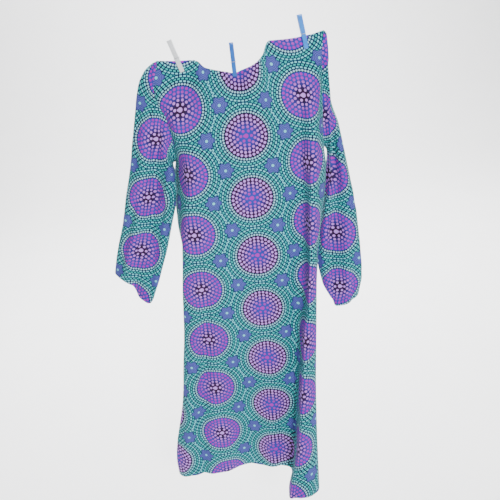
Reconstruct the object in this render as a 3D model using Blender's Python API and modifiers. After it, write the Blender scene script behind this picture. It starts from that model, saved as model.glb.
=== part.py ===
# Long-sleeved kaftan dress of printed cotton, hung up by three spring clothes pegs.
# Metres, +Z up. Seen from the front, +X is to the right and +Y is away from the viewer.
# The origin is the line notch of the middle peg.
# The cloth is one middle surface, drawn through named lines. Each sewn piece is a wall round its share of it.

import math

import bmesh
import bpy
import numpy as np

# Cloth
WALL = 0.0015
SEAM_GAP = 0.0003
UNDERARM = -0.205
HEM = -1.112
# Half the distance between the middle surfaces of the two layers that a shoulder peg grips
FOLD = 0.0013

# Pegs
PEG_LENGTH = 0.074
PEG_WIDTH = 0.010
PEG_CLEARANCE = 0.0003
# Places along a peg, measured from its tip
NOTCH_AT = 0.018
SPRING_AT = 0.0325
NOTCH_RADIUS = 0.0025
WIRE_RADIUS = 0.0006
COIL_RADIUS = 0.0026
COIL_TURNS = 3.5
ARM_AT_SPRING = 0.0070

# Pegs: name, notch x, notch z, lean to the right in degrees, layers of cloth gripped, colour
PEGS = [
    ("peg_left", -0.1225, 0.0233, -16.0, 2, (0.86, 0.87, 0.88)),
    ("peg_middle", 0.0, 0.0, 0.0, 1, (0.03, 0.16, 0.62)),
    ("peg_right", 0.1660, 0.0418, -8.0, 2, (0.03, 0.28, 0.78)),
]

# Top edge of the front and of the back, left to right: x, height
FRONT_TOP = [
    (-0.171, 0.036), (-0.131, 0.031), (-0.088, 0.028), (-0.083, 0.025), (-0.065, 0.010), (-0.045, 0.003),
    (-0.019, -0.005), (0.000, -0.011), (0.015, -0.006), (0.044, 0.004), (0.067, 0.021), (0.078, 0.042),
    (0.084, 0.050), (0.129, 0.049), (0.177, 0.052), (0.211, 0.058),
]
BACK_TOP = [
    (-0.171, 0.036), (-0.131, 0.031), (-0.088, 0.028), (-0.083, 0.020), (-0.055, -0.010), (0.000, -0.028),
    (0.040, -0.016), (0.060, 0.000), (0.073, 0.020), (0.084, 0.050), (0.129, 0.049), (0.177, 0.052),
    (0.211, 0.058),
]

# Lines of the front from its left side to its right side, each with the columns of faces up to the next line.
# Rows run down the line: level, x, y. A level is a height up to the underarm, and 0 is the top edge.
FRONT_LINES = [
    ("side_left", 2, [
        (0.000, -0.171, -FOLD), (-0.025, -0.181, -0.0030), (-0.045, -0.189, -0.0080),
        (-0.072, -0.189, -0.0110), (-0.107, -0.172, -0.0130), (-0.161, -0.166, -0.0020),
        (-0.194, -0.1675, 0.0160), (UNDERARM, -0.170, 0.0280), (-0.224, -0.1760, 0.0450),
        (-0.243, -0.180, 0.0540), (-0.270, -0.184, 0.0590), (-0.298, -0.188, 0.0620),
        (-0.325, -0.190, 0.0620), (-0.345, -0.190, 0.0590), (-0.370, -0.189, 0.0500),
        (-0.392, -0.185, 0.0360), (-0.410, -0.181, 0.0230), (-0.500, -0.188, 0.0100),
        (-0.750, -0.224, 0.0060), (HEM, -0.288, 0.0000)]),
    ("edge_left", 2, [
        (0.000, -0.158, -FOLD), (-0.030, -0.168, -0.0060), (-0.060, -0.170, -0.0180),
        (-0.120, -0.152, -0.0340), (-0.215, -0.140, -0.0400), (-0.300, -0.154, -0.0410),
        (-0.380, -0.172, -0.0360), (-0.500, -0.193, -0.0330), (-0.700, -0.221, -0.0330),
        (-0.860, -0.249, -0.0330), (-1.080, -0.299, -0.0320), (HEM, -0.297, -0.0300)]),
    ("peg_left_out", 1, [
        (0.000, -0.143, -FOLD), (-0.030, -0.143, -FOLD), (-0.060, -0.143, -0.0120),
        (-0.120, -0.132, -0.0380), (UNDERARM, -0.122, -0.0500), (-0.380, -0.144, -0.0480),
        (-0.500, -0.162, -0.0460), (-0.750, -0.198, -0.0460), (HEM, -0.258, -0.0470)]),
    ("peg_left", 1, [
        (0.000, -0.124, -FOLD), (-0.030, -0.124, -FOLD), (-0.060, -0.123, -0.0080),
        (-0.120, -0.114, -0.0360), (UNDERARM, -0.104, -0.0530), (-0.380, -0.120, -0.0510),
        (-0.500, -0.137, -0.0470), (-0.750, -0.170, -0.0390), (HEM, -0.226, -0.0530)]),
    ("peg_left_in", 2, [
        (0.000, -0.105, -FOLD), (-0.030, -0.105, -FOLD), (-0.060, -0.103, -0.0120),
        (-0.120, -0.094, -0.0380), (UNDERARM, -0.086, -0.0520), (-0.380, -0.098, -0.0500),
        (-0.500, -0.110, -0.0470), (-0.750, -0.140, -0.0430), (HEM, -0.190, -0.0490)]),
    ("neck_left", 2, [
        (0.000, -0.085, -FOLD), (-0.030, -0.082, -0.0100), (-0.060, -0.078, -0.0200),
        (-0.120, -0.068, -0.0360), (UNDERARM, -0.058, -0.0460), (-0.500, -0.078, -0.0440),
        (-0.750, -0.104, -0.0400), (HEM, -0.146, -0.0370)]),
    ("slack_left", 2, [
        (0.000, -0.045, -0.0140), (-0.030, -0.044, -0.0200), (-0.060, -0.043, -0.0260),
        (-0.120, -0.038, -0.0380), (UNDERARM, -0.034, -0.0440), (-0.500, -0.046, -0.0420),
        (-0.750, -0.070, -0.0380), (HEM, -0.112, -0.0290)]),
    ("peg_middle_left", 1, [
        (0.000, -0.008, 0.0000), (-0.014, -0.008, 0.0000), (-0.045, -0.010, -0.0120),
        (-0.090, -0.012, -0.0300), (UNDERARM, -0.012, -0.0430), (-0.500, -0.018, -0.0410),
        (-0.750, -0.040, -0.0380), (HEM, -0.082, -0.0330)]),
    ("peg_middle_right", 2, [
        (0.000, 0.008, 0.0000), (-0.014, 0.008, 0.0000), (-0.045, 0.009, -0.0120),
        (-0.090, 0.010, -0.0300), (UNDERARM, 0.010, -0.0430), (-0.500, 0.006, -0.0420),
        (-0.750, -0.016, -0.0390), (HEM, -0.058, -0.0370)]),
    ("slack_right", 2, [
        (0.000, 0.045, -0.0140), (-0.030, 0.045, -0.0200), (-0.060, 0.044, -0.0270),
        (-0.120, 0.043, -0.0400), (UNDERARM, 0.044, -0.0460), (-0.500, 0.034, -0.0440),
        (-0.750, 0.008, -0.0420), (HEM, -0.036, -0.0430)]),
    ("neck_right", 3, [
        (0.000, 0.085, -FOLD), (-0.030, 0.084, -0.0100), (-0.060, 0.082, -0.0210),
        (-0.120, 0.080, -0.0380), (UNDERARM, 0.080, -0.0480), (-0.500, 0.066, -0.0460),
        (-0.750, 0.036, -0.0450), (HEM, -0.014, -0.0510)]),
    ("flute_root", 4, [
        (0.000, 0.150, -FOLD), (-0.030, 0.150, -FOLD), (-0.060, 0.148, -0.0140),
        (-0.120, 0.141, -0.0300), (UNDERARM, 0.133, -0.0370), (-0.350, 0.121, -0.0360),
        (-0.536, 0.104, -0.0400), (-0.736, 0.079, -0.0450), (-0.932, 0.056, -0.0500),
        (HEM, 0.020, -0.0620)]),
    ("flute_crest", 2, [
        (0.000, 0.1655, -FOLD), (-0.030, 0.1655, -FOLD), (-0.060, 0.166, -0.0180),
        (-0.120, 0.163, -0.0440), (UNDERARM, 0.155, -0.0630), (-0.340, 0.141, -0.0780),
        (-0.515, 0.121, -0.0920), (-0.700, 0.095, -0.1120), (-0.870, 0.068, -0.1350),
        (-1.000, 0.040, -0.1560), (HEM, 0.010, -0.1800)]),
    ("flute_right", 2, [
        (0.000, 0.181, -FOLD), (-0.030, 0.182, -FOLD), (-0.060, 0.187, -0.0100),
        (-0.120, 0.189, -0.0250), (UNDERARM, 0.187, -0.0390), (-0.306, 0.176, -0.0500),
        (-0.371, 0.165, -0.0560), (-0.470, 0.149, -0.0680), (-0.600, 0.134, -0.0840),
        (-0.720, 0.122, -0.0980), (-0.870, 0.107, -0.1220), (HEM, 0.090, -0.1650)]),
    ("side_right", 0, [
        (0.000, 0.211, -FOLD), (-0.030, 0.205, 0.0000), (-0.060, 0.203, 0.0030),
        (-0.100, 0.200, 0.0040), (-0.150, 0.197, 0.0030), (-0.194, 0.192, 0.0100),
        (UNDERARM, 0.190, 0.0200), (-0.224, 0.1925, 0.0300), (-0.250, 0.1935, 0.0360),
        (-0.275, 0.192, 0.0370), (-0.300, 0.189, 0.0360), (-0.320, 0.185, 0.0330),
        (-0.335, 0.180, 0.0270), (-0.350, 0.174, 0.0170), (-0.371, 0.165, 0.0040),
        (-0.470, 0.147, -0.0130), (-0.600, 0.134, -0.0300), (-0.750, 0.120, -0.0500),
        (-0.900, 0.106, -0.0700), (HEM, 0.095, -0.1050)]),
]

# Lines of the back, from its right side to its left side as seen from the front
BACK_LINES = [
    ("armhole_right", 2, [
        (0.000, 0.211, FOLD), (-0.030, 0.206, 0.0120), (-0.060, 0.204, 0.0260), (-0.100, 0.200, 0.0400),
        (-0.150, 0.196, 0.0440), (-0.194, 0.192, 0.0300), (UNDERARM, 0.190, 0.0200)]),
    ("back_edge_right", 2, [
        (0.000, 0.181, FOLD), (-0.030, 0.182, FOLD), (-0.060, 0.190, 0.0140), (-0.120, 0.184, 0.0520),
        (UNDERARM, 0.174, 0.0600), (-0.250, 0.174, 0.0620), (-0.300, 0.170, 0.0600),
        (-0.350, 0.161, 0.0500), (-0.500, 0.140, 0.0300), (-0.750, 0.116, 0.0120),
        (HEM, 0.097, -0.0100)]),
    ("back_fold_right", 4, [
        (0.000, 0.1655, FOLD), (-0.030, 0.1655, FOLD), (-0.060, 0.166, 0.0120), (-0.120, 0.152, 0.0460),
        (UNDERARM, 0.146, 0.0740), (-0.500, 0.118, 0.0700), (-0.750, 0.094, 0.0700),
        (HEM, 0.072, 0.0780)]),
    ("back_bulge_right", 3, [
        (0.000, 0.150, FOLD), (-0.030, 0.150, FOLD), (-0.060, 0.148, 0.0120), (-0.120, 0.128, 0.0460),
        (UNDERARM, 0.112, 0.0740), (-0.500, 0.086, 0.0780), (-0.750, 0.056, 0.0920),
        (HEM, 0.014, 0.1120)]),
    ("back_neck_right", 4, [
        (0.000, 0.085, FOLD), (-0.030, 0.084, 0.0140), (-0.060, 0.082, 0.0280), (-0.120, 0.074, 0.0500),
        (UNDERARM, 0.064, 0.0660), (-0.500, 0.052, 0.0640), (-0.750, 0.022, 0.0780),
        (HEM, -0.040, 0.1000)]),
    ("back_middle", 4, [
        (0.000, 0.000, 0.0360), (-0.060, 0.000, 0.0440), (-0.120, 0.004, 0.0540),
        (UNDERARM, 0.006, 0.0620), (-0.500, -0.004, 0.0620), (-0.750, -0.032, 0.0700),
        (HEM, -0.092, 0.0840)]),
    ("back_neck_left", 2, [
        (0.000, -0.085, FOLD), (-0.030, -0.082, 0.0140), (-0.060, -0.078, 0.0260),
        (-0.120, -0.062, 0.0480), (UNDERARM, -0.052, 0.0660), (-0.500, -0.066, 0.0620),
        (-0.750, -0.092, 0.0580), (HEM, -0.148, 0.0540)]),
    ("back_peg_left_in", 1, [
        (0.000, -0.105, FOLD), (-0.030, -0.105, FOLD), (-0.060, -0.103, 0.0110),
        (-0.120, -0.092, 0.0440), (UNDERARM, -0.082, 0.0730), (-0.500, -0.102, 0.0700),
        (-0.750, -0.132, 0.0680), (HEM, -0.194, 0.0660)]),
    ("back_peg_left", 1, [
        (0.000, -0.124, FOLD), (-0.030, -0.124, FOLD), (-0.060, -0.123, 0.0080),
        (-0.120, -0.112, 0.0440), (UNDERARM, -0.106, 0.0750), (-0.500, -0.130, 0.0740),
        (-0.750, -0.162, 0.0780), (HEM, -0.226, 0.0820)]),
    ("back_peg_left_out", 2, [
        (0.000, -0.143, FOLD), (-0.030, -0.143, FOLD), (-0.060, -0.143, 0.0100),
        (-0.120, -0.134, 0.0440), (UNDERARM, -0.132, 0.0720), (-0.340, -0.144, 0.0820),
        (-0.500, -0.160, 0.0680), (-0.750, -0.194, 0.0680), (HEM, -0.256, 0.0700)]),
    ("back_edge_left", 2, [
        (0.000, -0.158, FOLD), (-0.030, -0.164, 0.0080), (-0.060, -0.163, 0.0200),
        (-0.120, -0.156, 0.0460), (UNDERARM, -0.159, 0.0600), (-0.250, -0.170, 0.0740),
        (-0.300, -0.177, 0.0800), (-0.345, -0.179, 0.0790), (-0.410, -0.174, 0.0580),
        (-0.500, -0.184, 0.0480), (-0.750, -0.218, 0.0480), (HEM, -0.282, 0.0450)]),
    ("armhole_left", 0, [
        (0.000, -0.171, FOLD), (-0.030, -0.181, 0.0120), (-0.060, -0.184, 0.0250),
        (-0.100, -0.178, 0.0400), (-0.150, -0.171, 0.0480), (-0.194, -0.1685, 0.0390),
        (UNDERARM, -0.170, 0.0280)]),
]

# Lines between which the front and the back are sewn together along a shoulder
SHOULDERS = [("side_left", "neck_left"), ("neck_right", "side_right")]

# Levels of the rows of faces, from the hem to just under the top edge
SKIRT_LEVELS = [
    HEM, -1.055, -0.990, -0.920, -0.845, -0.770, -0.695, -0.625, -0.560, -0.505, -0.455, -0.410, -0.375,
    -0.345, -0.310, -0.270, -0.235,
]
BODICE_LEVELS = [UNDERARM, -0.195, -0.182, -0.162, -0.138, -0.114, -0.091, -0.070, -0.050, -0.033, -0.016]
# The rows that turn over a shoulder seam, as degrees from level to upright
SHOULDER_TURN = [0.0, 45.0, 90.0]
# The same rows lie this many times further apart along the neckline
NECK_ROWS_APART = 4.0

# Sleeves, a row for each section from the armhole to the cuff: share of the length,
# outer edge x, y, z, inner edge x, y, z, depth of the front, depth of the back, depth of the groove
SLEEVE_LEFT = [
    (0.00, -0.171, 0.000, 0.036, -0.170, 0.028, -0.205, 0.018, 0.022, 0.000),
    (0.04, -0.186, 0.005, 0.031, -0.1755, 0.0275, -0.207, 0.020, 0.023, 0.000),
    (0.10, -0.204, 0.011, 0.018, -0.1765, 0.0245, -0.211, 0.024, 0.024, 0.003),
    (0.17, -0.219, 0.015, -0.008, -0.1745, 0.019, -0.220, 0.026, 0.026, 0.008),
    (0.25, -0.234, 0.019, -0.048, -0.1720, 0.012, -0.234, 0.028, 0.027, 0.014),
    (0.35, -0.250, 0.020, -0.103, -0.1740, 0.010, -0.256, 0.029, 0.028, 0.020),
    (0.50, -0.277, 0.025, -0.190, -0.1840, 0.014, -0.305, 0.030, 0.030, 0.024),
    (0.65, -0.306, 0.031, -0.278, -0.206, 0.028, -0.372, 0.030, 0.030, 0.022),
    (0.80, -0.333, 0.038, -0.360, -0.232, 0.030, -0.440, 0.028, 0.030, 0.018),
    (0.92, -0.363, 0.050, -0.435, -0.262, 0.029, -0.510, 0.026, 0.028, 0.012),
    (1.00, -0.380, 0.060, -0.490, -0.286, 0.025, -0.556, 0.024, 0.026, 0.008),
]
SLEEVE_RIGHT = [
    (0.00, 0.211, 0.000, 0.058, 0.190, 0.020, -0.205, 0.010, 0.022, 0.000),
    (0.04, 0.2170, 0.002, 0.050, 0.195, 0.021, -0.208, 0.012, 0.022, 0.000),
    (0.10, 0.2190, 0.010, 0.022, 0.200, 0.023, -0.213, 0.020, 0.024, 0.000),
    (0.17, 0.2188, 0.018, -0.023, 0.2035, 0.025, -0.221, 0.026, 0.026, 0.001),
    (0.25, 0.2190, 0.023, -0.085, 0.2045, 0.026, -0.233, 0.030, 0.027, 0.004),
    (0.35, 0.2350, 0.021, -0.162, 0.200, 0.026, -0.256, 0.031, 0.028, 0.010),
    (0.50, 0.255, 0.019, -0.280, 0.189, 0.025, -0.330, 0.031, 0.030, 0.018),
    (0.65, 0.265, 0.015, -0.380, 0.172, 0.024, -0.415, 0.030, 0.030, 0.017),
    (0.80, 0.270, 0.006, -0.475, 0.159, 0.021, -0.500, 0.029, 0.030, 0.012),
    (0.92, 0.270, 0.000, -0.555, 0.167, 0.018, -0.570, 0.028, 0.030, 0.009),
    (1.00, 0.258, 0.000, -0.608, 0.184, 0.012, -0.614, 0.026, 0.028, 0.006),
]
SLEEVE_STATIONS = [0.0, 0.03, 0.07, 0.12, 0.18, 0.25, 0.33, 0.42, 0.51, 0.60, 0.69, 0.78, 0.86, 0.93, 1.0]
# Share of the armhole's own shape that is left where a sleeve is a plain flat tube
ARMHOLE_REACH = 0.30
# The groove runs down the front of a sleeve at this turn from the outer edge, and is this wide, in degrees
GROOVE_AT = 100.0
GROOVE_WIDTH = 22.0
# The front and back of each sleeve stand out sideways by this much just past the armhole
CAP_PUSH = {"left_sleeve": -0.006, "right_sleeve": 0.002}
CAP_PUSH_BY = 0.12
# The front of a cuff hangs lower than its two edges: by how much, and between which turns it goes down
# and back up, in degrees
CUFF_DROP = {
    "left_sleeve": (0.027, 84.0, 104.0, 128.0, 176.0, 0.7),
    "right_sleeve": (0.024, 5.0, 110.0, 130.0, 180.0, 0.9),
}
# Below 1, a sleeve's section is flatter and fuller than an ellipse
FLATNESS = 0.75


def new_collection(name):
    collection = bpy.data.collections.new(name)
    bpy.context.scene.collection.children.link(collection)
    return collection


def plain_material(name, colour, roughness, metallic=0.0):
    material = bpy.data.materials.new(name)
    material.use_nodes = True
    shader = material.node_tree.nodes["Principled BSDF"]
    shader.inputs["Base Color"].default_value = (*colour, 1.0)
    shader.inputs["Roughness"].default_value = roughness
    shader.inputs["Metallic"].default_value = metallic
    return material


def keyed(rows, place):
    """Values of a table at one place of its first column, eased so that they never pass the rows
    that they join."""
    rows = sorted(rows)
    places = np.array([row[0] for row in rows])
    values = np.array([row[1:] for row in rows])
    steps = np.diff(places)
    slopes = np.diff(values, axis=0) / steps[:, None]
    tangents = np.zeros_like(values)
    tangents[0] = slopes[0]
    tangents[-1] = slopes[-1]
    for index in range(1, len(rows) - 1):
        before = slopes[index - 1]
        after = slopes[index]
        same_way = before * after > 0.0
        total = np.where(same_way, before + after, 1.0)
        tangents[index] = np.where(same_way, 2.0 * before * after / total, 0.0)
    index = int(np.clip(np.searchsorted(places, place) - 1, 0, len(steps) - 1))
    share = np.clip((place - places[index]) / steps[index], 0.0, 1.0)
    return hermite(
        values[index], values[index + 1], tangents[index], tangents[index + 1], steps[index], share)


def hermite(start, end, start_tangent, end_tangent, step, share):
    square = share * share
    cube = square * share
    return (
        (2.0 * cube - 3.0 * square + 1.0) * start
        + (cube - 2.0 * square + share) * step * start_tangent
        + (3.0 * square - 2.0 * cube) * end
        + (cube - square) * step * end_tangent
    )


def smooth_curve(points, counts, closed):
    """A smooth curve through points, cut into the given number of pieces between each two."""
    total = len(points)
    around = points + points[:1] if closed else points
    steps = [max(math.dist(a, b), 1e-6) ** 0.5 for a, b in zip(around, around[1:])]
    slopes = [(np.array(b) - np.array(a)) / step for a, b, step in zip(around, around[1:], steps)]
    tangents = []
    for index in range(total):
        at_end = not closed and index in (0, total - 1)
        if at_end:
            tangents.append(slopes[0] if index == 0 else slopes[-1])
            continue
        step_before = steps[index - 1]
        step_after = steps[index % len(steps)]
        before = slopes[index - 1]
        after = slopes[index % len(slopes)]
        tangents.append((before * step_after + after * step_before) / (step_before + step_after))
    curve = []
    for index, count in enumerate(counts):
        following = (index + 1) % total
        for part in range(count):
            curve.append(hermite(
                np.array(points[index]), np.array(points[following]), tangents[index], tangents[following],
                steps[index], part / count))
    if not closed:
        curve.append(np.array(points[-1]))
    return curve


def section(level):
    """The front and the back at one level, as lists of (x, y) from left to right and from right to left."""
    front_points = [tuple(keyed(rows, level)) for _, _, rows in FRONT_LINES]
    back_points = [tuple(keyed(rows, level)) for _, _, rows in BACK_LINES]
    front_counts = [count for _, count, _ in FRONT_LINES[:-1]]
    back_counts = [count for _, count, _ in BACK_LINES[:-1]]
    if level >= UNDERARM:
        return smooth_curve(front_points, front_counts, False), smooth_curve(back_points, back_counts, False)
    ring = smooth_curve(front_points + back_points[1:-1], front_counts + back_counts, True)
    front_total = sum(front_counts)
    return ring[:front_total + 1], ring[front_total:] + ring[:1]


def line_column(name):
    """The column of the front at which a line runs."""
    column = 0
    for line_name, count, _ in FRONT_LINES:
        if line_name == name:
            return column
        column += count
    raise KeyError(name)


def top_height(outline, x):
    return float(np.interp(x, [row[0] for row in outline], [row[1] for row in outline]))


def body_rows():
    """Rows of points of the front and of the back, from the hem to the top edge."""
    front_rows = []
    back_rows = []
    for level in SKIRT_LEVELS:
        front, back = section(level)
        front_rows.append([(x, y, level) for x, y in front])
        back_rows.append([(x, y, level) for x, y in back])
    front_edge, back_edge = section(0.0)
    front_tops = [top_height(FRONT_TOP, x) for x, _ in front_edge]
    back_tops = [top_height(BACK_TOP, x) for x, _ in back_edge]
    shoulder_columns = set()
    for first, last in SHOULDERS:
        shoulder_columns.update(range(line_column(first), line_column(last) + 1))
    for level in BODICE_LEVELS:
        share = (level - UNDERARM) / -UNDERARM
        front, back = section(level)
        front_rows.append([
            (x, y, UNDERARM + (top - UNDERARM) * share) for (x, y), top in zip(front, front_tops)])
        back_rows.append([
            (x, y, UNDERARM + (top - UNDERARM) * share) for (x, y), top in zip(back, back_tops)])
    last_back = len(back_edge) - 1
    last_front = len(front_edge) - 1
    for turn in SHOULDER_TURN:
        inward = FOLD * math.cos(math.radians(turn))
        drop = FOLD * (1.0 - math.sin(math.radians(turn)))
        front_row = []
        for column, ((x, y), top) in enumerate(zip(front_edge, front_tops)):
            on_shoulder = column in shoulder_columns
            if on_shoulder:
                front_row.append((x, -inward, top - drop))
            else:
                front_row.append((x, y, top - drop * NECK_ROWS_APART))
        back_row = []
        for column, ((x, y), top) in enumerate(zip(back_edge, back_tops)):
            from_left = last_back - column
            twin = from_left if from_left <= line_column("neck_left") else last_front - column
            right_shoulder = column <= last_front - line_column("neck_right")
            if twin in shoulder_columns and (twin == from_left or right_shoulder):
                x, _, height = front_row[twin]
                back_row.append((x, inward, height))
            else:
                back_row.append((x, y, top - drop * NECK_ROWS_APART))
        front_rows.append(front_row)
        back_rows.append(back_row)
    return front_rows, back_rows


def ramp(value, start, end):
    """0 before start, 1 after end, eased between them."""
    share = min(max((value - start) / (end - start), 0.0), 1.0)
    return share * share * (3.0 - 2.0 * share)


def sleeve_rows(sections, armhole, cuff_drop, cap_push):
    """Rings of points of a sleeve, from the armhole to the cuff. A ring starts at the outer edge
    and runs over the front first."""
    half = len(armhole) // 2
    drop, drop_start, drop_end, rise_start, rise_end, rise = cuff_drop
    rings = []
    first = None
    for station in SLEEVE_STATIONS:
        values = keyed(sections, station)
        outer = np.array(values[0:3])
        inner = np.array(values[3:6])
        front_depth, back_depth, groove = values[6:9]
        middle = (outer + inner) / 2.0
        reach = (outer - inner) / 2.0
        ring = []
        for index in range(len(armhole)):
            turn = math.pi * index / half
            across = math.sin(turn)
            depth = front_depth if across >= 0.0 else back_depth
            point = middle + reach * math.cos(turn)
            point[1] -= math.copysign(depth * abs(across) ** FLATNESS, across)
            off_groove = (math.degrees(turn) - GROOVE_AT) / GROOVE_WIDTH
            point[1] += groove * math.exp(-off_groove * off_groove)
            point[0] += cap_push * abs(across) * ramp(station, 0.0, CAP_PUSH_BY) * (1.0 - station)
            if across > 0.0:
                degrees = math.degrees(turn)
                going_down = ramp(degrees, drop_start, drop_end)
                coming_up = 1.0 - rise * ramp(degrees, rise_start, rise_end)
                point[2] -= drop * station ** 6 * going_down * coming_up
            ring.append(point)
        if first is None:
            first = [np.array(point) - own for point, own in zip(armhole, ring)]
        left_over = max(0.0, 1.0 - station / ARMHOLE_REACH) ** 2
        rings.append([point + left_over * offset for point, offset in zip(ring, first)])
    return rings


class Cloth:
    """The middle surface of the dress, with points shared where two pieces are sewn together."""

    def __init__(self):
        self.points = []
        self.index_of = {}
        self.pieces = {}

    def point(self, place):
        key = tuple(round(float(value), 6) for value in place)
        if key not in self.index_of:
            self.index_of[key] = len(self.points)
            self.points.append(np.array([float(value) for value in place]))
        return self.index_of[key]

    def add(self, name, rows, closed=False, flipped=False):
        grid = [[self.point(place) for place in row] for row in rows]
        faces = []
        for lower, upper in zip(grid, grid[1:]):
            columns = len(lower) if closed else len(lower) - 1
            for column in range(columns):
                after = (column + 1) % len(lower)
                face = [lower[column], lower[after], upper[after], upper[column]]
                faces.append(face[::-1] if flipped else face)
        self.pieces[name] = faces

    def normals(self):
        total = np.zeros((len(self.points), 3))
        for faces in self.pieces.values():
            for face in faces:
                for place, index in enumerate(face):
                    here = self.points[index]
                    ahead = self.points[face[(place + 1) % 4]] - here
                    behind = self.points[face[place - 1]] - here
                    cross = np.cross(ahead, behind)
                    size = np.linalg.norm(cross)
                    if size > 1e-14:
                        total[index] += cross / size * math.atan2(size, float(np.dot(ahead, behind)))
        return total / np.linalg.norm(total, axis=1)[:, None]

    def seam_points(self):
        owners = {}
        for name, faces in self.pieces.items():
            for face in faces:
                for index in face:
                    owners.setdefault(index, set()).add(name)
        return {index for index, names in owners.items() if len(names) > 1}


def triangles(cloth, faces):
    """Each face cut along its shorter diagonal, so that both sides of a wall bend at the same lines."""
    for first, second, third, fourth in faces:
        one_way = np.linalg.norm(cloth.points[first] - cloth.points[third])
        other_way = np.linalg.norm(cloth.points[second] - cloth.points[fourth])
        if one_way <= other_way:
            yield first, second, third
            yield first, third, fourth
        else:
            yield first, second, fourth
            yield second, third, fourth


def rim_edges(faces):
    """The edges of a piece that only one of its faces has, each in that face's direction."""
    directed = {(face[place], face[(place + 1) % 4]) for face in faces for place in range(4)}
    return [edge for edge in directed if (edge[1], edge[0]) not in directed]


def drawn_in(cloth, faces, seams):
    """The points of one piece, with those on a seam moved half of the seam's gap into the piece."""
    places = {index: cloth.points[index].copy() for face in faces for index in face}
    inward = {}
    for face in faces:
        centre = sum(cloth.points[index] for index in face) / 4.0
        for index in face:
            if index in seams:
                inward[index] = inward.get(index, np.zeros(3)) + centre - cloth.points[index]
    along = {}
    for start, end in rim_edges(faces):
        if start in seams and end in seams:
            step = cloth.points[end] - cloth.points[start]
            step = step / np.linalg.norm(step)
            along.setdefault(start, []).append(step)
            along.setdefault(end, []).append(step)
    for index, direction in inward.items():
        steps = along.get(index, [])
        if len(steps) == 2:
            tangent = steps[0] + steps[1]
            tangent = tangent / np.linalg.norm(tangent)
            direction = direction - tangent * float(np.dot(direction, tangent))
        places[index] += direction / np.linalg.norm(direction) * SEAM_GAP / 2.0
    return places


def cut_from_start(cloth, start, end, normals, on_seam):
    """Whether a rim face is cut from its outside start to its inside end, or the other way."""
    step = cloth.points[end] - cloth.points[start]
    spread = (normals[start] + normals[end]) * WALL / 2.0
    if on_seam:
        # The shorter cut is the same one for both pieces, so two rims that twist stay apart
        return np.linalg.norm(step - spread) <= np.linalg.norm(step + spread)
    # On a free edge the cut that stands out from the cloth
    return float(np.dot(np.cross(step, spread), normals[end] - normals[start])) <= 0.0


def cloth_piece(cloth, name, normals, seams, collection, material):
    """One sewn piece: a closed wall, half of its thickness on each side of the middle surface."""
    faces = cloth.pieces[name]
    places = drawn_in(cloth, faces, seams)
    shape = bmesh.new()
    outside = {index: shape.verts.new(place + normals[index] * WALL / 2.0) for index, place in places.items()}
    inside = {index: shape.verts.new(place - normals[index] * WALL / 2.0) for index, place in places.items()}
    for triangle in triangles(cloth, faces):
        shape.faces.new([outside[index] for index in triangle])
        shape.faces.new([inside[index] for index in reversed(triangle)])
    for start, end in rim_edges(faces):
        if cut_from_start(cloth, start, end, normals, start in seams and end in seams):
            shape.faces.new([outside[end], outside[start], inside[end]])
            shape.faces.new([outside[start], inside[start], inside[end]])
        else:
            shape.faces.new([outside[end], outside[start], inside[start]])
            shape.faces.new([outside[end], inside[start], inside[end]])
    mesh = bpy.data.meshes.new(name)
    shape.to_mesh(mesh)
    shape.free()
    mesh.shade_smooth()
    mesh.set_sharp_from_angle(angle=math.radians(50.0))
    mesh.materials.append(material)
    piece = bpy.data.objects.new(name, mesh)
    collection.objects.link(piece)
    return piece


def armhole_ring(front_rows, back_rows, front_column, back_column):
    """The armhole's points: shoulder tip, down the front edge, underarm, and up the back edge."""
    underarm_row = len(SKIRT_LEVELS)
    front_edge = [row[front_column] for row in front_rows[underarm_row:]]
    back_edge = [row[back_column] for row in back_rows[underarm_row:]]
    return front_edge[::-1] + back_edge[1:-1]


def build_cloth(collection):
    front_rows, back_rows = body_rows()
    left_armhole = armhole_ring(front_rows, back_rows, 0, -1)
    right_armhole = armhole_ring(front_rows, back_rows, -1, 0)
    left_rings = sleeve_rows(
        SLEEVE_LEFT, left_armhole, CUFF_DROP["left_sleeve"], CAP_PUSH["left_sleeve"])
    right_rings = sleeve_rows(
        SLEEVE_RIGHT, right_armhole, CUFF_DROP["right_sleeve"], CAP_PUSH["right_sleeve"])
    cloth = Cloth()
    cloth.add("front", front_rows)
    cloth.add("back", back_rows)
    cloth.add("left_sleeve", left_rings, closed=True, flipped=True)
    cloth.add("right_sleeve", right_rings, closed=True)
    normals = cloth.normals()
    seams = cloth.seam_points()
    colours = {
        "front": (0.09, 0.36, 0.40),
        "back": (0.08, 0.32, 0.38),
        "left_sleeve": (0.12, 0.30, 0.42),
        "right_sleeve": (0.12, 0.28, 0.42),
    }
    for name, colour in colours.items():
        material = plain_material(name + "_cotton", colour, 0.85)
        cloth_piece(cloth, name, normals, seams, collection, material)


def arm_outline():
    """Side view of a peg's arm as (away from the jaw face, up from the notch), round from the tip."""
    notch = []
    for step in range(7):
        turn = math.radians(-90.0 + 30.0 * step)
        notch.append((NOTCH_RADIUS * math.cos(turn), NOTCH_AT + NOTCH_RADIUS * math.sin(turn)))
    inner = [(0.0005, 0.0)] + [(0.0, 0.0015)] + notch + [
        (0.0, 0.0255), (0.0026, 0.0285), (0.0026, 0.0365), (0.0038, 0.0500), (0.0052, PEG_LENGTH)]
    outer = [
        (0.0088, PEG_LENGTH), (0.0078, 0.0500), (ARM_AT_SPRING, 0.0365), (ARM_AT_SPRING, 0.0285),
        (0.0062, 0.0200), (0.0036, 0.0000)]
    return [(away, up - NOTCH_AT) for away, up in inner + outer]


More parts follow.
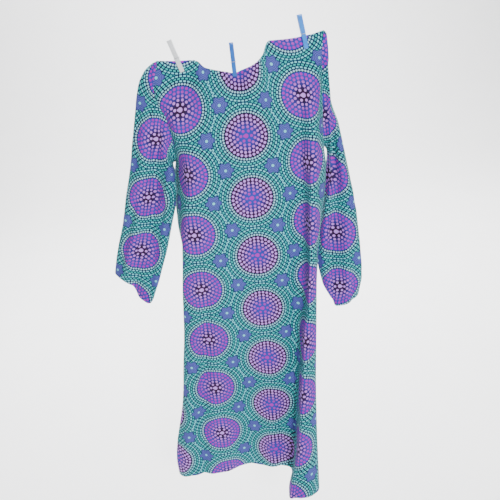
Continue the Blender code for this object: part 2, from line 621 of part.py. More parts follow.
def peg_arm(name, pivot, half_grip, turned, material, collection):
    """A flat outline with a thickness across the peg, then softened edges."""
    outline = arm_outline()
    curve = bpy.data.curves.new(name, "CURVE")
    curve.dimensions = "2D"
    curve.fill_mode = "BOTH"
    curve.extrude = PEG_WIDTH / 2.0
    spline = curve.splines.new("POLY")
    spline.points.add(len(outline) - 1)
    for point, (away, up) in zip(spline.points, outline):
        point.co = (-away, up, 0.0, 1.0)
    spline.use_cyclic_u = True
    curve.materials.append(material)
    arm = bpy.data.objects.new(name, curve)
    collection.objects.link(arm)
    arm.parent = pivot
    arm.rotation_euler = (math.radians(90.0), 0.0, math.radians(270.0 if turned else 90.0))
    arm.location = (0.0, half_grip if turned else -half_grip, 0.0)
    weld = arm.modifiers.new("weld", "WELD")
    weld.merge_threshold = 0.00001
    soften = arm.modifiers.new("soften", "BEVEL")
    soften.width = 0.0004
    soften.segments = 1
    soften.limit_method = "ANGLE"
    soften.angle_limit = math.radians(60.0)
    return arm


def spring_route(half_grip):
    """The wire's middle line: across one arm, in beside it, round the coil, out and across the other arm."""
    height = SPRING_AT - NOTCH_AT
    side = PEG_WIDTH / 2.0 + PEG_CLEARANCE + WIRE_RADIUS
    reach = half_grip + ARM_AT_SPRING + PEG_CLEARANCE + WIRE_RADIUS
    hook_end = PEG_WIDTH * 0.4
    coil_steps = int(COIL_TURNS * 8)
    route = [(hook_end, -reach, height), (-side, -reach, height)]
    for step in range(coil_steps + 1):
        share = step / coil_steps
        turn = math.pi + 2.0 * math.pi * COIL_TURNS * share
        route.append((
            -side + 2.0 * side * share, COIL_RADIUS * math.cos(turn), height + COIL_RADIUS * math.sin(turn)))
    route += [(side, reach, height), (-hook_end, reach, height)]
    return route


def peg_spring(name, pivot, half_grip, material, collection):
    curve = bpy.data.curves.new(name, "CURVE")
    curve.dimensions = "3D"
    curve.bevel_depth = WIRE_RADIUS
    curve.bevel_resolution = 1
    curve.use_fill_caps = True
    route = spring_route(half_grip)
    spline = curve.splines.new("POLY")
    spline.points.add(len(route) - 1)
    for point, place in zip(spline.points, route):
        point.co = (*place, 1.0)
    curve.materials.append(material)
    spring = bpy.data.objects.new(name, curve)
    collection.objects.link(spring)
    spring.parent = pivot
    weld = spring.modifiers.new("weld", "WELD")
    weld.merge_threshold = 0.00001
    return spring


def build_pegs(collection):
    steel = plain_material("spring_steel", (0.55, 0.56, 0.58), 0.35, 1.0)
    for name, x, z, lean, layers, colour in PEGS:
        pivot = bpy.data.objects.new(name, None)
        pivot.location = (x, 0.0, z)
        pivot.rotation_euler = (0.0, math.radians(lean), 0.0)
        collection.objects.link(pivot)
        cloth_half = WALL / 2.0 if layers == 1 else FOLD + WALL / 2.0
        half_grip = cloth_half + PEG_CLEARANCE
        plastic = plain_material(name + "_plastic", colour, 0.4)
        peg_arm(name + "_arm_front", pivot, half_grip, False, plastic, collection)
        peg_arm(name + "_arm_back", pivot, half_grip, True, plastic, collection)
        peg_spring(name + "_spring", pivot, half_grip, steel, collection)


def main():
    for existing in list(bpy.data.objects):
        bpy.data.objects.remove(existing, do_unlink=True)
    collection = new_collection("kaftan")
    build_cloth(collection)
    build_pegs(collection)
    bpy.context.view_layer.update()


main()
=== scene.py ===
# Printed cotton kaftan dress, hung up by three spring clothes pegs.
# Metres, +Z up. Seen from the front, +X is to the right and +Y is away from the viewer.
# The cloth repeats the tables of the part's source and draws them finer. The print, the smaller folds
# and the stitching are added here.

import math

import bpy
import numpy as np
from mathutils import Matrix, Vector, noise


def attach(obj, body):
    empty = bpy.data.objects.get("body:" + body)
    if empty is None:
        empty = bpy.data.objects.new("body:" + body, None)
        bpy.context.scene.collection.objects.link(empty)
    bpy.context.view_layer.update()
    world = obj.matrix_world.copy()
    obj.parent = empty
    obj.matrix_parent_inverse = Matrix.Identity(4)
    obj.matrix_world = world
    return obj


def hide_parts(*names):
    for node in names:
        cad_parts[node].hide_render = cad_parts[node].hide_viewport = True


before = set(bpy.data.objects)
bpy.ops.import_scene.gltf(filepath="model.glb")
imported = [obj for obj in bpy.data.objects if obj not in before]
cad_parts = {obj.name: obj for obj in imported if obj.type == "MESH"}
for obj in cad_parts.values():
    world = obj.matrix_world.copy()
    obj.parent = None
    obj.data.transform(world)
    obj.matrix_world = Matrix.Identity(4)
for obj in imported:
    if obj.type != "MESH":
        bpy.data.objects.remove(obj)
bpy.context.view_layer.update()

FULL_TURN = 2.0 * math.pi

# Cloth
WALL = 0.0015
SEAM_GAP = 0.0003
UNDERARM = -0.205
HEM = -1.112
# Half the distance between the middle surfaces of the two layers that a shoulder peg grips
FOLD = 0.0013

# Pegs
PEG_LENGTH = 0.074
PEG_WIDTH = 0.010
PEG_CLEARANCE = 0.0003
# Places along a peg, measured from its tip
NOTCH_AT = 0.018
SPRING_AT = 0.0325
NOTCH_RADIUS = 0.0025
WIRE_RADIUS = 0.0006
COIL_RADIUS = 0.0026
COIL_TURNS = 3.5
ARM_AT_SPRING = 0.0070
# Ridges across the outside of an arm's end: how many, their distance apart, and their depth
RIDGES = 6
RIDGE_PITCH = 0.003
RIDGE_DEPTH = 0.0005
# Rounding of a peg's edges, steps in a turn of the coil, and how far the wire takes to bend
PEG_EDGE = 0.00045
STEPS_PER_TURN = 28
WIRE_BEND = 0.0009

# Pegs: name, notch x, notch z, lean to the right in degrees, layers of cloth gripped
PEGS = [
    ("peg_left", -0.1225, 0.0233, -16.0, 2),
    ("peg_middle", 0.0, 0.0, 0.0, 1),
    ("peg_right", 0.1660, 0.0418, -8.0, 2),
]

# Top edge of the front and of the back, left to right: x, height
FRONT_TOP = [
    (-0.171, 0.036), (-0.131, 0.031), (-0.088, 0.028), (-0.083, 0.025), (-0.065, 0.01), (-0.045, 0.003),
    (-0.019, -0.005), (0.0, -0.011), (0.015, -0.006), (0.044, 0.004), (0.067, 0.021), (0.078, 0.042),
    (0.084, 0.05), (0.129, 0.049), (0.177, 0.052), (0.211, 0.058),
]
BACK_TOP = [
    (-0.171, 0.036), (-0.131, 0.031), (-0.088, 0.028), (-0.083, 0.02), (-0.055, -0.01), (0.0, -0.028),
    (0.04, -0.016), (0.06, 0.0), (0.073, 0.02), (0.084, 0.05), (0.129, 0.049), (0.177, 0.052),
    (0.211, 0.058),
]

# Lines of the front from its left side to its right side, each with the columns of faces up to the next.
# Rows run down the line: level, x, y. A level is a height up to the underarm, and 0 is the top edge.
FRONT_LINES = [
    ("side_left", 2, [
        (0.0, -0.171, -FOLD), (-0.025, -0.181, -0.003), (-0.045, -0.189, -0.008),
        (-0.072, -0.189, -0.011), (-0.107, -0.172, -0.013), (-0.161, -0.166, -0.002),
        (-0.194, -0.1675, 0.016), (UNDERARM, -0.17, 0.028), (-0.224, -0.176, 0.045),
        (-0.243, -0.18, 0.054), (-0.27, -0.184, 0.059), (-0.298, -0.188, 0.062), (-0.325, -0.19, 0.062),
        (-0.345, -0.19, 0.059), (-0.37, -0.189, 0.05), (-0.392, -0.185, 0.036), (-0.41, -0.181, 0.023),
        (-0.5, -0.188, 0.01), (-0.75, -0.224, 0.006), (HEM, -0.288, 0.0)]),
    ("edge_left", 2, [
        (0.0, -0.158, -FOLD), (-0.03, -0.168, -0.006), (-0.06, -0.17, -0.018), (-0.12, -0.152, -0.034),
        (-0.215, -0.14, -0.04), (-0.3, -0.154, -0.041), (-0.38, -0.172, -0.036), (-0.5, -0.193, -0.033),
        (-0.7, -0.221, -0.033), (-0.86, -0.249, -0.033), (-1.08, -0.299, -0.032), (HEM, -0.297, -0.03)]),
    ("peg_left_out", 1, [
        (0.0, -0.143, -FOLD), (-0.03, -0.143, -FOLD), (-0.06, -0.143, -0.012), (-0.12, -0.132, -0.038),
        (UNDERARM, -0.122, -0.05), (-0.38, -0.144, -0.048), (-0.5, -0.162, -0.046),
        (-0.75, -0.198, -0.046), (HEM, -0.258, -0.047)]),
    ("peg_left", 1, [
        (0.0, -0.124, -FOLD), (-0.03, -0.124, -FOLD), (-0.06, -0.123, -0.008), (-0.12, -0.114, -0.036),
        (UNDERARM, -0.104, -0.053), (-0.38, -0.12, -0.051), (-0.5, -0.137, -0.047),
        (-0.75, -0.17, -0.039), (HEM, -0.226, -0.053)]),
    ("peg_left_in", 2, [
        (0.0, -0.105, -FOLD), (-0.03, -0.105, -FOLD), (-0.06, -0.103, -0.012), (-0.12, -0.094, -0.038),
        (UNDERARM, -0.086, -0.052), (-0.38, -0.098, -0.05), (-0.5, -0.11, -0.047),
        (-0.75, -0.14, -0.043), (HEM, -0.19, -0.049)]),
    ("neck_left", 2, [
        (0.0, -0.085, -FOLD), (-0.03, -0.082, -0.01), (-0.06, -0.078, -0.02), (-0.12, -0.068, -0.036),
        (UNDERARM, -0.058, -0.046), (-0.5, -0.078, -0.044), (-0.75, -0.104, -0.04),
        (HEM, -0.146, -0.037)]),
    ("slack_left", 2, [
        (0.0, -0.045, -0.014), (-0.03, -0.044, -0.02), (-0.06, -0.043, -0.026), (-0.12, -0.038, -0.038),
        (UNDERARM, -0.034, -0.044), (-0.5, -0.046, -0.042), (-0.75, -0.07, -0.038),
        (HEM, -0.112, -0.029)]),
    ("peg_middle_left", 1, [
        (0.0, -0.008, 0.0), (-0.014, -0.008, 0.0), (-0.045, -0.01, -0.012), (-0.09, -0.012, -0.03),
        (UNDERARM, -0.012, -0.043), (-0.5, -0.018, -0.041), (-0.75, -0.04, -0.038),
        (HEM, -0.082, -0.033)]),
    ("peg_middle_right", 2, [
        (0.0, 0.008, 0.0), (-0.014, 0.008, 0.0), (-0.045, 0.009, -0.012), (-0.09, 0.01, -0.03),
        (UNDERARM, 0.01, -0.043), (-0.5, 0.006, -0.042), (-0.75, -0.016, -0.039),
        (HEM, -0.058, -0.037)]),
    ("slack_right", 2, [
        (0.0, 0.045, -0.014), (-0.03, 0.045, -0.02), (-0.06, 0.044, -0.027), (-0.12, 0.043, -0.04),
        (UNDERARM, 0.044, -0.046), (-0.5, 0.034, -0.044), (-0.75, 0.008, -0.042),
        (HEM, -0.036, -0.043)]),
    ("neck_right", 3, [
        (0.0, 0.085, -FOLD), (-0.03, 0.084, -0.01), (-0.06, 0.082, -0.021), (-0.12, 0.08, -0.038),
        (UNDERARM, 0.08, -0.048), (-0.5, 0.066, -0.046), (-0.75, 0.036, -0.045), (HEM, -0.014, -0.051)]),
    ("flute_root", 4, [
        (0.0, 0.15, -FOLD), (-0.03, 0.15, -FOLD), (-0.06, 0.148, -0.014), (-0.12, 0.141, -0.03),
        (UNDERARM, 0.133, -0.037), (-0.35, 0.121, -0.036), (-0.536, 0.104, -0.04),
        (-0.736, 0.079, -0.045), (-0.932, 0.056, -0.05), (HEM, 0.02, -0.062)]),
    ("flute_crest", 2, [
        (0.0, 0.1655, -FOLD), (-0.03, 0.1655, -FOLD), (-0.06, 0.166, -0.018), (-0.12, 0.163, -0.044),
        (UNDERARM, 0.155, -0.063), (-0.34, 0.141, -0.078), (-0.515, 0.121, -0.092),
        (-0.7, 0.095, -0.112), (-0.87, 0.068, -0.135), (-1.0, 0.04, -0.156), (HEM, 0.01, -0.18)]),
    ("flute_right", 2, [
        (0.0, 0.181, -FOLD), (-0.03, 0.182, -FOLD), (-0.06, 0.187, -0.01), (-0.12, 0.189, -0.025),
        (UNDERARM, 0.187, -0.039), (-0.306, 0.176, -0.05), (-0.371, 0.165, -0.056),
        (-0.47, 0.149, -0.068), (-0.6, 0.134, -0.084), (-0.72, 0.122, -0.098), (-0.87, 0.107, -0.122),
        (HEM, 0.09, -0.165)]),
    ("side_right", 0, [
        (0.0, 0.211, -FOLD), (-0.03, 0.205, 0.0), (-0.06, 0.203, 0.003), (-0.1, 0.2, 0.004),
        (-0.15, 0.197, 0.003), (-0.194, 0.192, 0.01), (UNDERARM, 0.19, 0.02), (-0.224, 0.1925, 0.03),
        (-0.25, 0.1935, 0.036), (-0.275, 0.192, 0.037), (-0.3, 0.189, 0.036), (-0.32, 0.185, 0.033),
        (-0.335, 0.18, 0.027), (-0.35, 0.174, 0.017), (-0.371, 0.165, 0.004), (-0.47, 0.147, -0.013),
        (-0.6, 0.134, -0.03), (-0.75, 0.12, -0.05), (-0.9, 0.106, -0.07), (HEM, 0.095, -0.105)]),
]

# Lines of the back, from its right side to its left side as seen from the front
BACK_LINES = [
    ("armhole_right", 2, [
        (0.0, 0.211, FOLD), (-0.03, 0.206, 0.012), (-0.06, 0.204, 0.026), (-0.1, 0.2, 0.04),
        (-0.15, 0.196, 0.044), (-0.194, 0.192, 0.03), (UNDERARM, 0.19, 0.02)]),
    ("back_edge_right", 2, [
        (0.0, 0.181, FOLD), (-0.03, 0.182, FOLD), (-0.06, 0.19, 0.014), (-0.12, 0.184, 0.052),
        (UNDERARM, 0.174, 0.06), (-0.25, 0.174, 0.062), (-0.3, 0.17, 0.06), (-0.35, 0.161, 0.05),
        (-0.5, 0.14, 0.03), (-0.75, 0.116, 0.012), (HEM, 0.097, -0.01)]),
    ("back_fold_right", 4, [
        (0.0, 0.1655, FOLD), (-0.03, 0.1655, FOLD), (-0.06, 0.166, 0.012), (-0.12, 0.152, 0.046),
        (UNDERARM, 0.146, 0.074), (-0.5, 0.118, 0.07), (-0.75, 0.094, 0.07), (HEM, 0.072, 0.078)]),
    ("back_bulge_right", 3, [
        (0.0, 0.15, FOLD), (-0.03, 0.15, FOLD), (-0.06, 0.148, 0.012), (-0.12, 0.128, 0.046),
        (UNDERARM, 0.112, 0.074), (-0.5, 0.086, 0.078), (-0.75, 0.056, 0.092), (HEM, 0.014, 0.112)]),
    ("back_neck_right", 4, [
        (0.0, 0.085, FOLD), (-0.03, 0.084, 0.014), (-0.06, 0.082, 0.028), (-0.12, 0.074, 0.05),
        (UNDERARM, 0.064, 0.066), (-0.5, 0.052, 0.064), (-0.75, 0.022, 0.078), (HEM, -0.04, 0.1)]),
    ("back_middle", 4, [
        (0.0, 0.0, 0.036), (-0.06, 0.0, 0.044), (-0.12, 0.004, 0.054), (UNDERARM, 0.006, 0.062),
        (-0.5, -0.004, 0.062), (-0.75, -0.032, 0.07), (HEM, -0.092, 0.084)]),
    ("back_neck_left", 2, [
        (0.0, -0.085, FOLD), (-0.03, -0.082, 0.014), (-0.06, -0.078, 0.026), (-0.12, -0.062, 0.048),
        (UNDERARM, -0.052, 0.066), (-0.5, -0.066, 0.062), (-0.75, -0.092, 0.058), (HEM, -0.148, 0.054)]),
    ("back_peg_left_in", 1, [
        (0.0, -0.105, FOLD), (-0.03, -0.105, FOLD), (-0.06, -0.103, 0.011), (-0.12, -0.092, 0.044),
        (UNDERARM, -0.082, 0.073), (-0.5, -0.102, 0.07), (-0.75, -0.132, 0.068), (HEM, -0.194, 0.066)]),
    ("back_peg_left", 1, [
        (0.0, -0.124, FOLD), (-0.03, -0.124, FOLD), (-0.06, -0.123, 0.008), (-0.12, -0.112, 0.044),
        (UNDERARM, -0.106, 0.075), (-0.5, -0.13, 0.074), (-0.75, -0.162, 0.078), (HEM, -0.226, 0.082)]),
    ("back_peg_left_out", 2, [
        (0.0, -0.143, FOLD), (-0.03, -0.143, FOLD), (-0.06, -0.143, 0.01), (-0.12, -0.134, 0.044),
        (UNDERARM, -0.132, 0.072), (-0.34, -0.144, 0.082), (-0.5, -0.16, 0.068), (-0.75, -0.194, 0.068),
        (HEM, -0.256, 0.07)]),
    ("back_edge_left", 2, [
        (0.0, -0.158, FOLD), (-0.03, -0.164, 0.008), (-0.06, -0.163, 0.02), (-0.12, -0.156, 0.046),
        (UNDERARM, -0.159, 0.06), (-0.25, -0.17, 0.074), (-0.3, -0.177, 0.08), (-0.345, -0.179, 0.079),
        (-0.41, -0.174, 0.058), (-0.5, -0.184, 0.048), (-0.75, -0.218, 0.048), (HEM, -0.282, 0.045)]),
    ("armhole_left", 0, [
        (0.0, -0.171, FOLD), (-0.03, -0.181, 0.012), (-0.06, -0.184, 0.025), (-0.1, -0.178, 0.04),
        (-0.15, -0.171, 0.048), (-0.194, -0.1685, 0.039), (UNDERARM, -0.17, 0.028)]),
]

# Lines between which the front and the back are sewn together along a shoulder
SHOULDERS = [("side_left", "neck_left"), ("neck_right", "side_right")]

# Levels of the rows of faces, from the hem to just under the top edge
SKIRT_LEVELS = [
    HEM, -1.055, -0.990, -0.920, -0.845, -0.770, -0.695, -0.625, -0.560, -0.505, -0.455, -0.410, -0.375,
    -0.345, -0.310, -0.270, -0.235,
]
BODICE_LEVELS = [UNDERARM, -0.195, -0.182, -0.162, -0.138, -0.114, -0.091, -0.070, -0.050, -0.033, -0.016]
# The rows that turn over a shoulder seam, as degrees from level to upright
SHOULDER_TURN = [0.0, 45.0, 90.0]
# The same rows lie this many times further apart along the neckline
NECK_ROWS_APART = 4.0

# Sleeves, a row for each section from the armhole to the cuff: share of the length,
# outer edge x, y, z, inner edge x, y, z, depth of the front, depth of the back, depth of the groove
SLEEVE_LEFT = [
    (0.0, -0.171, 0.0, 0.036, -0.17, 0.028, -0.205, 0.018, 0.022, 0.0),
    (0.04, -0.186, 0.005, 0.031, -0.1755, 0.0275, -0.207, 0.02, 0.023, 0.0),
    (0.1, -0.204, 0.011, 0.018, -0.1765, 0.0245, -0.211, 0.024, 0.024, 0.003),
    (0.17, -0.219, 0.015, -0.008, -0.1745, 0.019, -0.22, 0.026, 0.026, 0.008),
    (0.25, -0.234, 0.019, -0.048, -0.172, 0.012, -0.234, 0.028, 0.027, 0.014),
    (0.35, -0.25, 0.02, -0.103, -0.174, 0.01, -0.256, 0.029, 0.028, 0.02),
    (0.5, -0.277, 0.025, -0.19, -0.184, 0.014, -0.305, 0.03, 0.03, 0.024),
    (0.65, -0.306, 0.031, -0.278, -0.206, 0.028, -0.372, 0.03, 0.03, 0.022),
    (0.8, -0.333, 0.038, -0.36, -0.232, 0.03, -0.44, 0.028, 0.03, 0.018),
    (0.92, -0.363, 0.05, -0.435, -0.262, 0.029, -0.51, 0.026, 0.028, 0.012),
    (1.0, -0.38, 0.06, -0.49, -0.286, 0.025, -0.556, 0.024, 0.026, 0.008),
]
SLEEVE_RIGHT = [
    (0.0, 0.211, 0.0, 0.058, 0.19, 0.02, -0.205, 0.01, 0.022, 0.0),
    (0.04, 0.217, 0.002, 0.05, 0.195, 0.021, -0.208, 0.012, 0.022, 0.0),
    (0.1, 0.219, 0.01, 0.022, 0.2, 0.023, -0.213, 0.02, 0.024, 0.0),
    (0.17, 0.2188, 0.018, -0.023, 0.2035, 0.025, -0.221, 0.026, 0.026, 0.001),
    (0.25, 0.219, 0.023, -0.085, 0.2045, 0.026, -0.233, 0.03, 0.027, 0.004),
    (0.35, 0.235, 0.021, -0.162, 0.2, 0.026, -0.256, 0.031, 0.028, 0.01),
    (0.5, 0.255, 0.019, -0.28, 0.189, 0.025, -0.33, 0.031, 0.03, 0.018),
    (0.65, 0.265, 0.015, -0.38, 0.172, 0.024, -0.415, 0.03, 0.03, 0.017),
    (0.8, 0.27, 0.006, -0.475, 0.159, 0.021, -0.5, 0.029, 0.03, 0.012),
    (0.92, 0.27, 0.0, -0.555, 0.167, 0.018, -0.57, 0.028, 0.03, 0.009),
    (1.0, 0.258, 0.0, -0.608, 0.184, 0.012, -0.614, 0.026, 0.028, 0.006),
]
SLEEVE_STATIONS = [0.0, 0.03, 0.07, 0.12, 0.18, 0.25, 0.33, 0.42, 0.51, 0.60, 0.69, 0.78, 0.86, 0.93, 1.0]
# Share of a sleeve's length over which the armhole's own shape gives way to a plain flat tube
ARMHOLE_REACH = 0.30
# The groove runs down the front of a sleeve at this turn from the outer edge, and is this wide, in degrees
GROOVE_AT = 100.0
GROOVE_WIDTH = 22.0
# The front and back of each sleeve stand out sideways by this much just past the armhole
CAP_PUSH = {"left_sleeve": -0.006, "right_sleeve": 0.002}
CAP_PUSH_BY = 0.12
# The front of a cuff hangs lower than its two edges: by how much, and between which turns it goes down
# and back up, in degrees
CUFF_DROP = {
    "left_sleeve": (0.027, 84.0, 104.0, 128.0, 176.0, 0.7),
    "right_sleeve": (0.024, 5.0, 110.0, 130.0, 180.0, 0.9),
}
# The drop grows towards the cuff as this power of the share of the length
CUFF_DROP_POWER = 6
# Below 1, a sleeve's section is flatter and fuller than an ellipse
FLATNESS = 0.75

# How much finer than the source the cloth is drawn: columns, bodice rows, skirt rows, sleeve rings
FINER_ACROSS = 5
FINER_BODICE = 4
FINER_SKIRT = 5
FINER_SLEEVE = 6
# Thickness of the cloth, and of the turned hems
CLOTH = 0.0007
HEM_CLOTH = 0.0013
# Depth of a turned hem at the bottom edge, the cuffs and the neckline
HEM_DEPTH = {"bottom": 0.020, "cuff": 0.018, "neck": 0.009}
# A hem's stitches lie this far inside its upper edge
STITCH_INSET = 0.002
# Extra rows at the two edges where a hem's step and stitches lie, and the one that is stitched
HEM_RISES = [0.0, 0.0015, 0.009, 0.0155, 0.018, 0.0205, 0.023]
STITCHED_RISE = HEM_RISES.index(0.018)
CUFF_STATIONS = [0.9625, 0.9665, 0.9705, 0.9745, 0.9975]
# The usual rows of the skirt start this far above the bottom edge
ROWS_START = 0.030
# How far a hem's step, the dent of its stitches and the furrow of a seam reach, and how deep they are
HEM_STEP = 0.003
STITCH_REACH = 0.0016
STITCH_DEPTH = 0.0003
SEAM_REACH = 0.003
SEAM_DEPTH = 0.0009
# Distance between stitches, and half of their length, width and height
STITCH_PITCH = 0.0032
STITCH_SIZE = (0.0012, 0.00022, 0.00022)
# x between which the top edge of each panel is open as the neckline
NECK_FROM = -0.084
NECK_TO = 0.083
# The neckline's stitches end this far before a shoulder
NECK_STITCH_END = 0.003
# Unevenness of hanging cloth: how far apart its waves are, their height, and the same of smaller ones
PANEL_WAVES = 0.045
SLEEVE_WAVES = 0.035
WAVE_HEIGHT = 0.0016
SMALL_WAVES = 0.012
SMALL_WAVE_HEIGHT = 0.0003
SMALL_WAVE_SHIFT = 5.0
# The waves are this many times longer down the cloth than across it
WAVE_STRETCH = 3.0
# Where a panel's folds and waves start and are full: from its sides, and down from a shoulder
SIDE_FADE = (0.0, 0.022)
SHOULDER_FADE = (0.006, 0.040)
# The same from the armhole of a sleeve, and round it towards its front, as the sine of the turn
ARMHOLE_FADE = (0.0, 0.030)
FRONT_FADE = (-0.1, 0.35)
# Where a seam's furrow starts and is full: down from a shoulder, and round from a sleeve's outer edge
FURROW_BELOW_SHOULDER = (0.020, 0.050)
FURROW_ROUND_SLEEVE = (0.15, 0.5)
# The neckline's hem starts and is full at these distances from a panel's sides
NECK_HEM_FROM_SIDE = (0.088, 0.096)
# Folds start and are full this many widths of a peg away from its middle line
PEG_HOLD = (0.6, 2.4)
# Columns over which the neckline leaves the end of a shoulder
NECK_EASES_BY = 5
# Depth below the underarm in which the open front and back become one smooth ring
SIDE_CLOSES_BY = 0.030
# How softly a fold ends, as a share of its width
FOLD_END = 1.6
# Edges that turn by more than this many degrees look sharp
CLOTH_SHARP = 60.0
PEG_SHARP = 35.0


def srgb(red, green, blue):
    """A colour that was judged on a 0 to 255 scale, as the linear numbers that shaders use."""
    linear = []
    for value in (red, green, blue):
        share = value / 255.0
        linear.append(share / 12.92 if share <= 0.04045 else ((share + 0.055) / 1.055) ** 2.4)
    return (*linear, 1.0)


def keyed(rows, place):
    """Values of a table at one place of its first column. They never pass the rows that they join."""
    rows = sorted(rows)
    places = np.array([row[0] for row in rows])
    values = np.array([row[1:] for row in rows])
    steps = np.diff(places)
    slopes = np.diff(values, axis=0) / steps[:, None]
    tangents = np.zeros_like(values)
    tangents[0] = slopes[0]
    tangents[-1] = slopes[-1]
    for index in range(1, len(rows) - 1):
        before = slopes[index - 1]
        after = slopes[index]
        same_way = before * after > 0.0
        total = np.where(same_way, before + after, 1.0)
        tangents[index] = np.where(same_way, 2.0 * before * after / total, 0.0)
    index = int(np.clip(np.searchsorted(places, place) - 1, 0, len(steps) - 1))
    share = np.clip((place - places[index]) / steps[index], 0.0, 1.0)
    return hermite(*values[index:index + 2], *tangents[index:index + 2], steps[index], share)


def hermite(start, end, start_tangent, end_tangent, step, share):
    """A cubic between two values, at a share of the step from one to the other."""
    square = share * share
    cube = square * share
    return (
        (2.0 * cube - 3.0 * square + 1.0) * start
        + (cube - 2.0 * square + share) * step * start_tangent
        + (3.0 * square - 2.0 * cube) * end
        + (cube - square) * step * end_tangent
    )


def smooth_curve(points, counts, closed):
    """A smooth curve through points, cut into the given number of pieces between each two."""
    total = len(points)
    around = points + points[:1] if closed else points
    steps = [max(math.dist(a, b), 1e-6) ** 0.5 for a, b in zip(around, around[1:])]
    slopes = [(np.array(b) - np.array(a)) / step for a, b, step in zip(around, around[1:], steps)]
    tangents = []
    for index in range(total):
        if not closed and index in (0, total - 1):
            tangents.append(slopes[0] if index == 0 else slopes[-1])
            continue
        step_before = steps[index - 1]
        step_after = steps[index % len(steps)]
        before = slopes[index - 1]
        after = slopes[index % len(slopes)]
        tangents.append((before * step_after + after * step_before) / (step_before + step_after))
    curve = []
    for index, count in enumerate(counts):
        following = (index + 1) % total
        shares = np.arange(count)[:, None] / count
        curve.append(hermite(
            np.array(points[index]), np.array(points[following]), tangents[index], tangents[following],
            steps[index], shares))
    if not closed:
        curve.append(np.array([points[-1]]))
    return np.concatenate(curve)


def ramp(value, start, end):
    """0 before start, 1 after end, eased between them."""
    share = np.clip((value - start) / (end - start), 0.0, 1.0)
    return share * share * (3.0 - 2.0 * share)


def section(level):
    """The front and the back at one level, as arrays of (x, y) from left to right and from right to left."""
    front_points = [tuple(keyed(rows, level)) for _, _, rows in FRONT_LINES]
    back_points = [tuple(keyed(rows, level)) for _, _, rows in BACK_LINES]
    front_counts = [count * FINER_ACROSS for _, count, _ in FRONT_LINES[:-1]]
    back_counts = [count * FINER_ACROSS for _, count, _ in BACK_LINES[:-1]]
    front = smooth_curve(front_points, front_counts, False)
    back = smooth_curve(back_points, back_counts, False)
    if level >= UNDERARM:
        return front, back
    ring = smooth_curve(front_points + back_points[1:-1], front_counts + back_counts, True)
    front_total = sum(front_counts)
    closed = ramp(UNDERARM - level, 0.0, SIDE_CLOSES_BY)
    around_front = ring[:front_total + 1]
    around_back = np.concatenate([ring[front_total:], ring[:1]])
    return front + (around_front - front) * closed, back + (around_back - back) * closed


def line_column(name):
    """The column of the front at which a line runs."""
    column = 0
    for line_name, count, _ in FRONT_LINES:
        if line_name == name:
            return column
        column += count * FINER_ACROSS
    raise KeyError(name)


def top_heights(outline, edge):
    """Height of the top edge over each point of the top row."""
    return np.array([float(keyed(outline, x)[0]) for x in edge[:, 0]])


def finer(places, times):
    """Each step of a list of places cut into the given number of equal steps."""
    cut = []
    for start, end in zip(places, places[1:]):
        cut += [start + (end - start) * step / times for step in range(times)]
    return cut + [places[-1]]


def at_height(edge, heights):
    return np.column_stack([edge, np.broadcast_to(heights, len(edge))])


